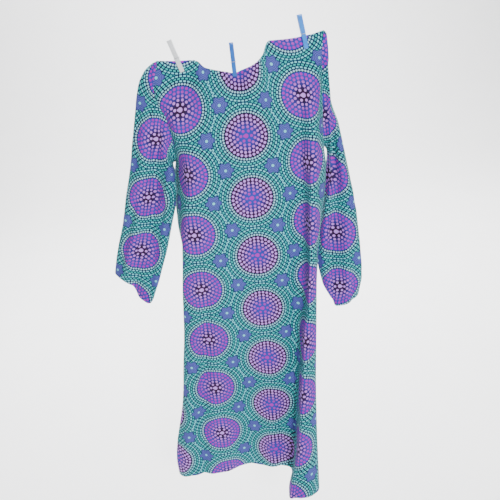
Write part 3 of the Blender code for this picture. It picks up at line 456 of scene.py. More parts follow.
def body_rows():
    """Rows of points of the front and of the back, from the bottom edge to the top edge."""
    front_rows = []
    back_rows = []
    levels = [HEM + rise for rise in HEM_RISES]
    levels += [
        level for level in finer(SKIRT_LEVELS + [UNDERARM], FINER_SKIRT) if level > HEM + ROWS_START]
    for level in levels[:-1]:
        front, back = section(level)
        front_rows.append(at_height(front, level))
        back_rows.append(at_height(back, level))
    front_edge, back_edge = section(0.0)
    front_tops = top_heights(FRONT_TOP, front_edge)
    back_tops = top_heights(BACK_TOP, back_edge)
    columns = np.arange(len(front_edge))
    # 0 on a shoulder, 1 at a distance from it along the neckline
    along_neck = np.ones(len(columns))
    for first, last in SHOULDERS:
        outside = np.maximum(line_column(first) - columns, columns - line_column(last))
        along_neck = np.minimum(along_neck, np.clip(outside / NECK_EASES_BY, 0.0, 1.0))
    front_free = ramp(along_neck, 0.0, 1.0)
    apart = 1.0 + (NECK_ROWS_APART - 1.0) * front_free
    # The back's columns run the other way, and its shoulders have the same number of columns
    last_front = len(front_edge) - 1
    last_back = len(back_edge) - 1
    twins = np.arange(len(back_edge))
    right_shoulder = twins <= last_front - line_column("neck_right")
    left_shoulder = last_back - twins <= line_column("neck_left")
    twins = np.where(left_shoulder, last_back - twins, np.clip(last_front - twins, 0, last_front))
    back_on_shoulder = left_shoulder | right_shoulder
    from_shoulder = np.minimum(
        np.arange(len(back_edge)) - np.flatnonzero(right_shoulder)[-1],
        np.flatnonzero(left_shoulder)[0] - np.arange(len(back_edge)))
    back_free = np.where(back_on_shoulder, 0.0, ramp(from_shoulder / NECK_EASES_BY, 0.0, 1.0))
    back_apart = 1.0 + (NECK_ROWS_APART - 1.0) * back_free

    def bodice_row(level):
        share = (level - UNDERARM) / -UNDERARM
        front, back = section(level)
        return (
            at_height(front, UNDERARM + (front_tops - UNDERARM) * share),
            at_height(back, UNDERARM + (back_tops - UNDERARM) * share))

    for level in finer(BODICE_LEVELS, FINER_BODICE):
        front, back = bodice_row(level)
        front_rows.append(front)
        back_rows.append(back)
    # From the last level up to where the shoulders start to turn over
    last_level = BODICE_LEVELS[-1]
    front_start = front_rows[-1][:, 2]
    back_start = back_rows[-1][:, 2]
    front_turn = front_tops - FOLD * apart
    back_turn = np.where(back_on_shoulder, front_turn[twins], back_tops - FOLD * back_apart)
    for step in range(1, FINER_BODICE):
        share = step / FINER_BODICE
        front, back = section(last_level * (1.0 - share))
        front_rows.append(at_height(front, front_start + (front_turn - front_start) * share))
        back_rows.append(at_height(back, back_start + (back_turn - back_start) * share))
    for turn in finer(SHOULDER_TURN, FINER_BODICE):
        inward = FOLD * math.cos(math.radians(turn))
        drop = FOLD * (1.0 - math.sin(math.radians(turn)))
        front = at_height(front_edge, front_tops - drop * apart)
        front[:, 1] = front_edge[:, 1] + (-inward - front_edge[:, 1]) * (1.0 - front_free)
        back = at_height(back_edge, back_tops - drop * back_apart)
        back[:, 0] = np.where(back_on_shoulder, front[twins, 0], back[:, 0])
        back[:, 1] = back_edge[:, 1] + (inward - back_edge[:, 1]) * (1.0 - back_free)
        back[:, 2] = np.where(back_on_shoulder, front[twins, 2], back[:, 2])
        front_rows.append(front)
        back_rows.append(back)
    return np.array(front_rows), np.array(back_rows), len(levels) - 1


def sleeve_rings(sections, armhole, cuff_drop, cap_push):
    """Rings of points of a sleeve, from the armhole to the cuff. A ring starts at the outer edge and goes
    round by the front."""
    total = len(armhole)
    turns = FULL_TURN * np.arange(total) / total
    across = np.sin(turns)
    degrees = np.degrees(turns)
    drop, drop_start, drop_end, rise_start, rise_end, rise = cuff_drop
    lower = ramp(degrees, drop_start, drop_end) * (1.0 - rise * ramp(degrees, rise_start, rise_end))
    lower = np.where(across > 0.0, lower, 0.0)
    rings = []
    for station in sorted(finer(SLEEVE_STATIONS, FINER_SLEEVE) + CUFF_STATIONS):
        values = keyed(sections, station)
        outer = values[0:3]
        inner = values[3:6]
        front_depth, back_depth, groove = values[6:9]
        ring = (outer + inner) / 2.0 + (outer - inner) / 2.0 * np.cos(turns)[:, None]
        depth = np.where(across >= 0.0, front_depth, back_depth)
        ring[:, 1] -= np.sign(across) * depth * np.abs(across) ** FLATNESS
        ring[:, 1] += groove * np.exp(-((degrees - GROOVE_AT) / GROOVE_WIDTH) ** 2)
        ring[:, 0] += cap_push * np.abs(across) * ramp(station, 0.0, CAP_PUSH_BY) * (1.0 - station)
        ring[:, 2] -= drop * station ** CUFF_DROP_POWER * lower
        if not rings:
            armhole_offset = armhole - ring
        left_over = max(0.0, 1.0 - station / ARMHOLE_REACH) ** 2
        rings.append(ring + left_over * armhole_offset)
    return np.array(rings)


def folded(points, folds):
    """How far each point of a piece is pushed out, from a table of folds drawn on its front view.
    A fold runs from one (x, z) to another, bowed sideways, with a half width and a height at each end."""
    push = np.zeros(points.shape[:2])
    for fold in folds:
        start_x, start_z, end_x, end_z, bow, start_width, end_width, start_height, end_height = [
            value / 1000.0 for value in fold]
        along = np.array([end_x - start_x, end_z - start_z])
        length = np.linalg.norm(along)
        along = along / length
        x = points[..., 0] - start_x
        z = points[..., 2] - start_z
        place = (x * along[0] + z * along[1]) / length
        aside = x * along[1] - z * along[0]
        inside = np.clip(place, 0.0, 1.0)
        aside = aside - bow * 4.0 * inside * (1.0 - inside)
        width = start_width + (end_width - start_width) * inside
        height = start_height + (end_height - start_height) * inside
        beyond = np.maximum(0.0, np.abs(place - 0.5) - 0.5) * length
        ends = np.exp(-(beyond / (FOLD_END * width)) ** 2)
        push += height * np.exp(-(aside / width) ** 2) * ends
    return push


def ripples(points, size, height, seed):
    """Soft unevenness of hanging cloth, longer down the cloth than across it."""
    flat = points.reshape(-1, 3)
    pushes = [
        noise.noise(Vector((x / size, y / size + seed, z / (size * WAVE_STRETCH))))
        for x, y, z in flat]
    return height * np.array(pushes).reshape(points.shape[:2])


def uneven(points, size, seed):
    """Large and small waves together."""
    large = ripples(points, size, WAVE_HEIGHT, seed)
    return large + ripples(points, SMALL_WAVES, SMALL_WAVE_HEIGHT, seed + SMALL_WAVE_SHIFT)


def surface_normals(pieces):
    """Normals of each piece's points, shared where two pieces are sewn together."""
    totals = {}
    for name, (points, closed, flipped) in pieces.items():
        total = np.zeros_like(points)
        after = np.roll(points, -1, axis=1) if closed else points[:, 1:]
        here = points if closed else points[:, :-1]
        first = after[1:] - here[:-1]
        second = here[1:] - after[:-1]
        faces = np.cross(second, first) if flipped else np.cross(first, second)
        columns = faces.shape[1]
        total[:-1, :columns] += faces
        total[1:, :columns] += faces
        if closed:
            rolled = np.roll(faces, 1, axis=1)
            total[:-1] += rolled
            total[1:] += rolled
        else:
            total[:-1, 1:] += faces
            total[1:, 1:] += faces
        totals[name] = total
    places = np.concatenate([points.reshape(-1, 3) for points, _, _ in pieces.values()])
    summed = np.concatenate([total.reshape(-1, 3) for total in totals.values()])
    _, shared = np.unique(np.round(places, 6), axis=0, return_inverse=True)
    shared = shared.reshape(-1)
    joined = np.zeros((shared.max() + 1, 3))
    np.add.at(joined, shared, summed)
    joined = joined / np.maximum(np.linalg.norm(joined, axis=1)[:, None], 1e-12)
    everywhere = joined[shared]
    normals = {}
    start = 0
    for name, (points, _, _) in pieces.items():
        size = points.shape[0] * points.shape[1]
        normals[name] = everywhere[start:start + size].reshape(points.shape)
        start += size
    return normals


# Folds of the cloth as drawn on its front view, in millimetres: from x, z, to x, z, how far it bows
# to the side, half width at the two ends, height at the two ends. A trough has a height below 0.
FRONT_FOLDS = [
    (175, 54, 153, -72, 2, 4.5, 9, -1.2, -2.2),
    (195, 47, 185, -57, 2, 5, 9, 4.5, 1),
    (145, 27, 87, -105, 3, 7, 14, 4, 1),
    (129, -2, 51, -125, -4, 7, 15, -1.2, -2.2),
    (-121, 19, -155, -104, 3, 6, 14, 5, 1),
    (-109, 9, -106, -124, -3, 6, 14, -1.2, -2.2),
    (-138, 30, -169, -75, 2, 6, 12, -1.2, -2.2),
    (-93, 25, -56, -74, -4, 6, 14, 3.5, 0.8),
    (1, -31, -47, -185, 3, 6, 15, -1.2, -2.2),
    (25, -25, 49, -143, -3, 7, 15, 3, 0.8),
    (-16, -16, -81, -85, 3, 6, 13, 3, 0.6),
    (197, -76, 172, -301, 2, 6, 9, -5, -2),
    (167, -161, 134, -488, -2, 7, 9, 3, 4),
    (137, -254, 109, -604, 3, 8, 10, -3, -6),
    (102, -483, 27, -1105, 4, 8, 10, -5, -9),
    (-127, -103, -156, -261, 4, 8, 14, -4, -1),
    (-121, -225, -169, -430, 3, 9, 14, 3, 2),
    (-140, -548, -227, -1124, 4, 12, 16, -4, -14),
    (-188, -662, -281, -1124, 2, 11, 15, 2, 7),
    (-77, -581, -156, -1111, -3, 16, 22, 2, 7),
    (-35, -678, -88, -1122, 2, 13, 18, -2, -7),
    (29, -653, -28, -1112, 3, 14, 18, 2, 6),
    (35, -842, -2, -1119, 2, 10, 13, -2, -6),
    (28, -295, -25, -594, 4, 16, 20, -2, -1.6),
    (-61, -258, -106, -553, -4, 16, 20, 2, 1.6),
    (100, -646, 62, -1148, 2, 8, 12, 2, 4),
]
BACK_FOLDS = [
    (-120, -60, -100, -330, 4, 8, 18, 4.5, 0.8),
    (-145, -60, -150, -260, -3, 8, 14, -4.5, -1),
    (-100, -20, -40, -140, -3, 7, 15, -3.5, -0.8),
    (-60, -40, -30, -240, 4, 9, 18, 2.6, 0.6),
    (20, -50, 10, -260, 3, 9, 18, -2.6, -0.6),
    (160, -40, 140, -260, 3, 7, 16, -4.5, -1),
    (140, -30, 80, -260, -6, 8, 18, 4, 0.6),
    (172, 30, 176, -130, 2, 5, 10, 3.6, 1),
    (-150, -280, -170, -560, 4, 10, 16, -3, -2),
    (120, -300, 90, -620, -3, 10, 16, 2.6, 3),
    (-160, -560, -230, -1112, 4, 14, 18, -3, -11),
    (-125, -600, -190, -1112, 3, 13, 17, 1.6, 8),
    (-90, -500, -150, -1112, -3, 16, 20, 1.2, 5),
    (-20, -560, -105, -1112, 4, 14, 18, -2, -9),
    (20, -480, -70, -1112, 5, 16, 20, 1.6, 7),
    (50, -640, -20, -1112, -3, 13, 17, -1.6, -8),
    (80, -560, 20, -1112, 4, 14, 18, 1.2, 6),
]
LEFT_SLEEVE_FOLDS = [
    (-181, 30, -191, -13, 3, 5, 7, -4.2, -4.2),
    (-187, -96, -214, -184, -4, 6, 8, -4.2, -4.2),
    (-211, -165, -228, -278, 3, 6, 8, -4.2, -4.2),
    (-226, -279, -262, -386, 2, 8, 9, -6, -7.5),
    (-218, -5, -260, -158, 4, 8, 9, 4, 2),
    (-232, -67, -263, -195, 0, 6, 8, -4.2, -4.2),
    (-182, -220, -212, -325, 3, 6, 8, 4, 3),
    (-214, -307, -291, -541, 4, 9, 11, -7.5, -7.5),
    (-270, -299, -331, -446, -3, 8, 10, 3, 3),
    (-280, -285, -355, -461, 2, 7, 10, -4.5, -6.7),
    (-284, -395, -336, -549, 2, 8, 10, -3, -7.5),
    (-171, -29, -215, -83, 3, 6, 9, -4.2, -3),
]
RIGHT_SLEEVE_FOLDS = [
    (221, -109, 215, -285, 2, 5, 6, -4.2, -4.2),
    (222, -197, 160, -481, 4, 6, 7, -4.2, -4.2),
    (244, -170, 267, -355, -3, 6, 9, -4.2, -4.2),
    (233, -247, 243, -326, 1, 6, 7, 4, 2),
    (201, -407, 190, -619, 3, 8, 10, -5.9, -5.2),
    (258, -327, 261, -525, 2, 8, 10, 3, 3),
    (238, -418, 221, -632, 2, 9, 10, 3, 2),
    (257, -489, 237, -626, 0, 7, 9, -5.2, -6.5),
    (190, -347, 171, -517, 2, 6, 8, 3.5, 3),
    (221, -17, 229, -124, 1, 4, 6, -4.2, -4.2),
]

# The ring of a sleeve from which its rings are square to it
PLAIN_RING = 40

# The print: rosettes in columns, each column half a step lower than the last
PRINT_PITCH = 0.150
ROSETTE_RADIUS = 0.0505
# Each ring of petals has this many more than the one inside it. The radii of a petal and of the middle one
# are shares of a ring's width, each with a soft edge.
PETALS_MORE = 6.0
PETAL_RING = 0.0084
PETAL = (0.39, 0.07)
ROSETTE_MIDDLE = (0.62, 0.08)
# The inner colours of a rosette end at the first share of its radius, with a soft edge of the second
INNER_COLOURS = (0.52, 0.34)
DOT_RING_AT = 0.0545
DOTS_AROUND = 52
DOT_RADIUS = 0.0024
# Rings of dashes: where they start, their distance apart, and the length of a dash with its gap
RIPPLES_START = 0.0580
RIPPLE = 0.0056
DASH = 0.0090
# Half length and half width of a dash as shares of those, each with its soft edge
DASH_LENGTH = (0.33, 0.05)
DASH_WIDTH = (0.31, 0.07)
# The ground is navy up to this distance from a rosette's middle and dark teal beyond it, with a soft edge
NAVY_GROUND = (0.078, 0.012)
# Gaps between three rosettes, measured from the middle of the nearest one
GAP_BESIDE = 0.09375
GAP_ABOVE = 0.05625
FLORET_RADIUS = 0.021
FLORET_RIM = 0.0022
FLORET_HEART = 0.0034
# A floret has twice this many lobes, and is drawn in by this share between them
FLORET_LOBES = 3.0
LOBE_DEPTH = 0.28
HATCH_PITCH = 0.0036
HATCH_EDGE = 0.25
# Soft edges of the print's shapes
CRISP = 0.0005
SOFT = 0.0006
THREAD = 0.0006
REVERSE_PALENESS = 0.52
# Scales of the materials' unevenness: patches of faded dye and slubs of the cotton, ply of the thread,
# mottle and scuffs of the plastic, drawing marks of the wire, grain of the pale surface
FADED_SCALE = 9.0
SLUB_SCALE = 420.0
PLY_SCALE = 900.0
MOTTLE_SCALE = 60.0
SCUFF_SCALE = 1500.0
DRAWN_SCALE = 700.0
GRAIN_SCALE = 3.0

MAGENTA = srgb(168, 26, 176)
LILAC = srgb(196, 138, 238)
VIOLET = srgb(44, 60, 168)
MAROON = srgb(38, 10, 46)
NAVY = srgb(11, 13, 58)
AQUA = srgb(110, 214, 224)
TEAL = srgb(40, 178, 172)
DARK_TEAL = srgb(8, 38, 80)
BLUE_VIOLET = srgb(92, 94, 182)
SLATE_VIOLET = srgb(44, 62, 132)
PALE = srgb(150, 206, 224)


def operation(kind, swapped=False):
    def work(self, other):
        pair = (other, self) if swapped else (self, other)
        return self.shader.maths(kind, *pair)
    return work


class Number:
    """A number that a material works out at each point, used like an ordinary number."""

    def __init__(self, shader, socket):
        self.shader = shader
        self.socket = socket

    def __abs__(self):
        return self.shader.maths("ABSOLUTE", self)

    def __neg__(self):
        return self.shader.maths("MULTIPLY", self, -1.0)

    __add__ = operation("ADD")
    __radd__ = operation("ADD", True)
    __sub__ = operation("SUBTRACT")
    __rsub__ = operation("SUBTRACT", True)
    __mul__ = operation("MULTIPLY")
    __rmul__ = operation("MULTIPLY", True)
    __truediv__ = operation("DIVIDE")
    __lt__ = operation("LESS_THAN")


class Shader:
    """A material with one Principled shader, and short ways to add nodes to it."""

    def __init__(self, name, roughness, metallic=0.0):
        self.material = bpy.data.materials.new(name)
        self.material.use_nodes = True
        self.tree = self.material.node_tree
        self.surface = self.tree.nodes["Principled BSDF"]
        self.surface.inputs["Roughness"].default_value = roughness
        self.surface.inputs["Metallic"].default_value = metallic

    def put(self, target, value):
        if isinstance(value, Number):
            value = value.socket
        if isinstance(value, bpy.types.NodeSocket):
            self.tree.links.new(value, target)
        else:
            target.default_value = value

    def node(self, kind, settings=None, inputs=None):
        made = self.tree.nodes.new(kind)
        for key, value in (settings or {}).items():
            setattr(made, key, value)
        for key, value in (inputs or {}).items():
            self.put(made.inputs[key], value)
        return made

    def maths(self, operation, *values):
        made = self.node("ShaderNodeMath", {"operation": operation}, dict(enumerate(values)))
        return Number(self, made.outputs[0])

    def mix(self, share, start, end):
        made = self.node(
            "ShaderNodeMix", {"data_type": "RGBA"}, {"Factor": share, 6: start, 7: end})
        return made.outputs[2]

    def scaled(self, colour, share):
        """A colour made lighter or darker."""
        made = self.node("ShaderNodeVectorMath", {"operation": "SCALE"}, {0: colour, "Scale": share})
        return made.outputs[0]

    def below(self, value, edge, soft):
        """1 where a value is below an edge, 0 where it is above, with a soft step between them."""
        made = self.node("ShaderNodeMapRange", {"interpolation_type": "SMOOTHSTEP"}, {
            "Value": value, "From Min": edge - soft, "From Max": edge + soft, "To Min": 1.0, "To Max": 0.0})
        return Number(self, made.outputs[0])

    def noise(self, vector, scale, detail=2.0):
        made = self.node("ShaderNodeTexNoise", None, {"Vector": vector, "Scale": scale, "Detail": detail})
        return Number(self, made.outputs["Fac"])

    def object_place(self):
        return self.node("ShaderNodeTexCoord").outputs["Object"]

    def print_place(self):
        """The place on the piece's own pattern, along the rows and up the columns, in metres."""
        place = self.node("ShaderNodeUVMap", {"uv_map": "grain"}).outputs[0]
        parts = self.node("ShaderNodeSeparateXYZ", None, {0: place})
        return place, Number(self, parts.outputs[0]), Number(self, parts.outputs[1])

    def finish(self, colour=None, roughness=None, height=None, bump_depth=0.0001, bump_strength=0.5):
        if colour is not None:
            self.put(self.surface.inputs["Base Color"], colour)
        if roughness is not None:
            self.put(self.surface.inputs["Roughness"], roughness)
        if height is not None:
            bump = self.node("ShaderNodeBump", None, {
                "Strength": bump_strength, "Distance": bump_depth, "Height": height})
            self.put(self.surface.inputs["Normal"], bump.outputs[0])
        return self.material


def part_of_turn(shader, across, up):
    """The direction from a motif's middle, as a share of a whole turn."""
    return shader.maths("ARCTAN2", up, across) / FULL_TURN


def length_of(shader, x, y):
    return shader.maths("SQRT", x * x + y * y)


def nearest_rosette(shader, u, v):
    """Where a point lies from the middle of the nearest rosette, and whether its column is an odd one."""
    first_column = shader.maths("FLOOR", u / PRINT_PITCH)
    found = []
    for side in (0.0, 1.0):
        column = first_column + side
        odd_half = shader.maths("FRACT", column * 0.5)
        lowered = v - odd_half * PRINT_PITCH
        row = shader.maths("FLOOR", lowered / PRINT_PITCH + 0.5)
        across = u - column * PRINT_PITCH
        up = lowered - row * PRINT_PITCH
        found.append((across, up, odd_half * 2.0, across * across + up * up))
    nearer = found[0][3] < found[1][3]
    return [second + (first - second) * nearer for first, second in zip(*found)]


def rosette(shader, distance, turn, odd):
    """Rings of round petals, with the colours the other way round in odd columns."""
    ring = shader.maths("FLOOR", distance / PETAL_RING)
    petals = shader.maths("MAXIMUM", ring * PETALS_MORE, 1.0)
    share = shader.maths("FRACT", turn * petals + ring * 0.5) - 0.5
    aside = share * distance * FULL_TURN / petals
    size = length_of(shader, aside, distance - (ring + 0.5) * PETAL_RING)
    petal = shader.below(size, *(PETAL_RING * part for part in PETAL))
    middle = shader.below(distance, *(PETAL_RING * part for part in ROSETTE_MIDDLE))
    petal = shader.maths("MAXIMUM", petal, middle)
    inside = shader.below(distance, *(ROSETTE_RADIUS * part for part in INNER_COLOURS))
    inside = inside + (1.0 - inside * 2.0) * odd
    petal_colour = shader.mix(inside, LILAC, MAGENTA)
    between = shader.mix(inside, MAROON, VIOLET)
    return shader.mix(petal, between, petal_colour)


def dots_round(shader, distance, turn):
    share = shader.maths("FRACT", turn * DOTS_AROUND) - 0.5
    aside = share * distance * (FULL_TURN / DOTS_AROUND)
    return shader.below(length_of(shader, aside, distance - DOT_RING_AT), DOT_RADIUS, CRISP)


def ripples_round(shader, distance, turn):
    """Rings of short dashes between the rosettes."""
    ring = shader.maths("FLOOR", (distance - RIPPLES_START) / RIPPLE)
    middle = (ring + 0.5) * RIPPLE + RIPPLES_START
    dashes = shader.maths("FLOOR", middle * (FULL_TURN / DASH))
    share = abs(shader.maths("FRACT", turn * dashes + ring * 0.5) - 0.5)
    short = shader.below(share, *DASH_LENGTH)
    narrow = shader.below(abs(distance - middle), *(RIPPLE * part for part in DASH_WIDTH))
    odd_ring = shader.maths("FRACT", ring * 0.5) * 2.0
    return short * narrow, odd_ring


def floret(shader, across, up):
    """A small hatched flower in a gap between three rosettes."""
    beside = abs(across)
    above = abs(up)
    places = [(beside - GAP_ABOVE, above - PRINT_PITCH / 2.0), (beside - GAP_BESIDE, above)]
    sizes = [length_of(shader, x, y) for x, y in places]
    nearer = sizes[0] < sizes[1]
    x, y, size = [
        far + (near - far) * nearer for near, far in zip((*places[0], sizes[0]), (*places[1], sizes[1]))]
    lobes = abs(shader.maths("COSINE", shader.maths("ARCTAN2", y, x) * FLORET_LOBES))
    reach = size / ((1.0 - LOBE_DEPTH) + LOBE_DEPTH * lobes)
    inside = shader.below(reach, FLORET_RADIUS, SOFT)
    edge = shader.below(reach, FLORET_RADIUS - FLORET_RIM, CRISP)
    hatch = shader.below(-shader.maths("COSINE", size * (FULL_TURN / HATCH_PITCH)), 0.0, HATCH_EDGE)
    heart = shader.below(size, FLORET_HEART, CRISP)
    colour = shader.mix(hatch, SLATE_VIOLET, BLUE_VIOLET)
    colour = shader.mix(edge, DARK_TEAL, colour)
    return inside, shader.mix(heart, colour, AQUA)


def cotton(name, reverse):
    """Printed cotton. The reverse shows the same print, paler."""
    shader = Shader(name, 0.78)
    place, u, v = shader.print_place()
    across, up, odd, square = nearest_rosette(shader, u, v)
    distance = shader.maths("SQRT", square)
    turn = part_of_turn(shader, across, up)
    dash, odd_ring = ripples_round(shader, distance, turn)
    ground = shader.mix(shader.below(distance, *NAVY_GROUND), DARK_TEAL, NAVY)
    colour = shader.mix(dash, ground, shader.mix(odd_ring, AQUA, TEAL))
    in_floret, floret_colour = floret(shader, across, up)
    colour = shader.mix(in_floret, colour, floret_colour)
    colour = shader.mix(shader.below(distance, RIPPLES_START, SOFT), colour, NAVY)
    colour = shader.mix(dots_round(shader, distance, turn), colour, PALE)
    in_rosette = shader.below(distance, ROSETTE_RADIUS, CRISP)
    colour = shader.mix(in_rosette, colour, rosette(shader, distance, turn, odd))
    # Warp and weft threads as a bump, also painted into the colour as shade in the hollows between them, and
    # the unevenness of dye on a washed cloth
    warp = shader.maths("SINE", u * (FULL_TURN / THREAD))
    weft = shader.maths("SINE", v * (FULL_TURN / THREAD))
    weave_relief_and_shade = warp * weft
    faded = shader.noise(place, FADED_SCALE, 3.0)
    slubs = shader.noise(place, SLUB_SCALE, 1.0)
    if reverse:
        colour = shader.mix(REVERSE_PALENESS, colour, PALE)
    # Painted shade: the weave's term makes the colour lighter on the raised threads and darker in the
    # hollows between them, while the faded patches and slubs vary the tone at random
    colour = shader.scaled(colour, 0.90 + 0.16 * faded + 0.10 * slubs + 0.03 * weave_relief_and_shade)
    shader.surface.inputs["Sheen Weight"].default_value = 0.05
    shader.surface.inputs["Sheen Roughness"].default_value = 0.45
    shader.surface.inputs["Specular IOR Level"].default_value = 0.25
    return shader.finish(colour, 0.70 + 0.16 * slubs, weave_relief_and_shade + slubs * 0.8, 0.00012, 0.6)


def thread_material():
    shader = Shader("sewing_thread", 0.7)
    place = shader.object_place()
    ply = shader.noise(place, PLY_SCALE, 1.0)
    colour = shader.mix(ply, srgb(30, 52, 96), srgb(58, 92, 140))
    return shader.finish(colour, 0.6 + 0.2 * ply)


def plastic(name, colour, shade):
    """Moulded plastic with a faint mottle and fine scuffs."""
    shader = Shader(name, 0.34)
    place = shader.object_place()
    mottle = shader.noise(place, MOTTLE_SCALE, 3.0)
    scuffs = shader.noise(place, SCUFF_SCALE)
    shader.surface.inputs["Coat Weight"].default_value = 0.15
    return shader.finish(
        shader.mix(mottle, shade, colour), 0.26 + 0.20 * scuffs, scuffs, 0.00006, 0.35)


def steel(name):
    shader = Shader(name, 0.3, 1.0)
    place = shader.object_place()
    drawn = shader.noise(place, DRAWN_SCALE)
    colour = shader.mix(drawn, srgb(150, 154, 160), srgb(205, 208, 214))
    return shader.finish(colour, 0.22 + 0.22 * drawn, drawn, 0.00003, 0.3)


def pale_surface(name):
    shader = Shader(name, 0.9)
    place = shader.object_place()
    grain = shader.noise(place, GRAIN_SCALE, 3.0)
    return shader.finish(shader.mix(grain, srgb(244, 244, 245), srgb(250, 250, 251)))


def free_of_pegs(points):
    """0 where a peg grips the cloth, 1 a little way off it."""
    free = np.ones(points.shape[:2])
    for _, notch_x, notch_z, lean, _ in PEGS:
        along = np.array([math.sin(math.radians(lean)), math.cos(math.radians(lean))])
        x = points[..., 0] - notch_x
        z = points[..., 2] - notch_z
        place = np.clip(x * along[0] + z * along[1], -NOTCH_AT, 0.0)
        distance = np.hypot(x - place * along[0], z - place * along[1])
        free = np.minimum(free, ramp(distance / PEG_WIDTH, *PEG_HOLD))
    return free


def row_lengths(points, closed, across=None):
    """Length along each row up to each of its points, and on to the first one again where it is closed."""
    around = np.concatenate([points, points[:, :1]], axis=1) if closed else points
    steps = np.diff(around, axis=1)
    if across is not None:
        steps = steps - (steps @ across)[..., None] * across
    lengths = np.linalg.norm(steps, axis=2)
    return np.concatenate([np.zeros((len(points), 1)), np.cumsum(lengths, axis=1)], axis=1)


def panel_grain(points, middle, lean):
    """Place on the print of each point of a panel, measured along its rows from a steep grain line."""
    lengths = row_lengths(points, False)
    at_line = []
    for row, row_length in zip(points, lengths):
        x = row[:, 0]
        line_x = middle + lean * float(np.mean(row[:, 2]))
        order = np.argsort(x)
        at_line.append(np.interp(line_x, x[order], row_length[order]))
    return lengths - np.array(at_line)[:, None], points[..., 2]


def sleeve_grain(points, plain_from):
    """Place on the print of each point of a sleeve, measured round it from its outer fold,
    with a column of rosettes half way across."""
    start = points[0].mean(axis=0)
    axis = points[-1].mean(axis=0) - start
    axis = axis / np.linalg.norm(axis)
    lengths = row_lengths(points, True, axis)
    around = np.concatenate([points, points[:, :1]], axis=1)
    # Rings near the armhole run partly along the sleeve, so there the print is carried up from below
    ring_step = np.roll(points, -1, axis=1) - np.roll(points, 1, axis=1)
    ring_step = np.concatenate([ring_step, ring_step[:, :1]], axis=1)
    for row in range(plain_from - 1, -1, -1):
        lift = around[row] - around[row + 1]
        down = around[min(row + 2, len(around) - 1)] - around[row]
        normal = np.cross(down, ring_step[row])
        sideways = np.cross(normal, axis)
        sideways = sideways / np.maximum(np.linalg.norm(sideways, axis=1), 1e-9)[:, None]
        same_way = np.sign(np.einsum("ij,ij->i", sideways, ring_step[plain_from]))
        lengths[row] = lengths[row + 1] + np.einsum("ij,ij->i", lift, sideways) * same_way
    along = -((around - start) @ axis)
    return lengths + PRINT_PITCH / 2.0, along


def placed(name, data):
    """A new object in the scene."""
    made = bpy.data.objects.new(name, data)
    bpy.context.scene.collection.objects.link(made)
    return made


def finished_mesh(carrier):
    """The mesh that an object's modifiers make of it. The object itself is taken away."""
    bpy.context.view_layer.update()
    depsgraph = bpy.context.evaluated_depsgraph_get()
    mesh = bpy.data.meshes.new_from_object(carrier.evaluated_get(depsgraph))
    bpy.data.objects.remove(carrier, do_unlink=True)
    return mesh


class Shell:
    """Thin cloth on each side of a grid of points."""

    def __init__(self, name, points, normals, half, closed, flipped):
        self.name = name
        self.rows, self.columns = points.shape[:2]
        self.closed = closed
        self.flipped = flipped
        self.outside = points + normals * half[..., None]
        self.inside = points - normals * half[..., None]

    def grid(self):
        """Corner indices of each face, and its row and column."""
        columns = self.columns if self.closed else self.columns - 1
        row, column = np.meshgrid(np.arange(self.rows - 1), np.arange(columns), indexing="ij")
        row = row.reshape(-1)
        column = column.reshape(-1)
        after = (column + 1) % self.columns
        return np.column_stack([
            row * self.columns + column, row * self.columns + after,
            (row + 1) * self.columns + after, (row + 1) * self.columns + column]), row, column

    def rims(self):
        """Pairs of points round the free edges, in the direction that the outside faces have there."""
        numbers = np.arange(self.rows * self.columns).reshape(self.rows, self.columns)
        pairs = []
        if self.closed:
            first = numbers[0]
            last = numbers[-1]
            pairs += list(zip(first, np.roll(first, -1)))
            pairs += list(zip(np.roll(last, -1), last))
        else:
            ring = np.concatenate([
                numbers[0, :-1], numbers[:-1, -1], numbers[-1, :0:-1], numbers[:0:-1, 0]])
            pairs += list(zip(ring, np.roll(ring, -1)))
        return np.array(pairs)

    def build(self, grain, materials):
        faces, row, column = self.grid()
        pairs = self.rims()
        total = self.rows * self.columns
        outer = faces
        inner = faces[:, ::-1] + total
        rim = np.column_stack([pairs[:, 1], pairs[:, 0], pairs[:, 0] + total, pairs[:, 1] + total])
        u, v = grain
        corners = [(row, column), (row, column + 1), (row + 1, column + 1), (row + 1, column)]
        # Past the inner fold of a sleeve the print is measured from the outer fold the other way
        turned = np.where(self.closed & (column >= self.columns // 2), 1.0, 0.0)
        outer_grain = np.array([
            [u[r, c] - turned * u[r, -1], v[r, c]] for r, c in corners]).transpose(2, 0, 1)
        inner_grain = outer_grain[:, ::-1]
        flat_u = u[:, :self.columns].reshape(-1)
        flat_v = v[:, :self.columns].reshape(-1)
        numbers = rim % total
        rim_grain = np.stack([flat_u[numbers], flat_v[numbers]], axis=2)
        if self.flipped:
            outer = outer[:, ::-1]
            outer_grain = outer_grain[:, ::-1]
            inner = inner[:, ::-1]
            inner_grain = inner_grain[:, ::-1]
            rim = rim[:, ::-1]
            rim_grain = rim_grain[:, ::-1]
        places = np.concatenate([self.outside.reshape(-1, 3), self.inside.reshape(-1, 3)])
        mesh = bpy.data.meshes.new(self.name)
        mesh.from_pydata(places.tolist(), [], np.concatenate([outer, inner, rim]).tolist())
        layer = mesh.uv_layers.new(name="grain")
        layer.data.foreach_set("uv", np.concatenate([outer_grain, inner_grain, rim_grain]).reshape(-1))
        for material in materials:
            mesh.materials.append(material)
        slots = np.concatenate([np.zeros(len(outer)), np.ones(len(inner)), np.zeros(len(rim))])
        mesh.polygons.foreach_set("material_index", slots.astype(np.int32))
        mesh.shade_smooth()
        mesh.set_sharp_from_angle(angle=math.radians(CLOTH_SHARP))
        mesh.update()
        return placed(self.name, mesh)


def hem_band(distance, depth):
    """1 within a turned hem, 0 past its edge."""
    return 1.0 - ramp(distance, depth, depth + HEM_STEP)


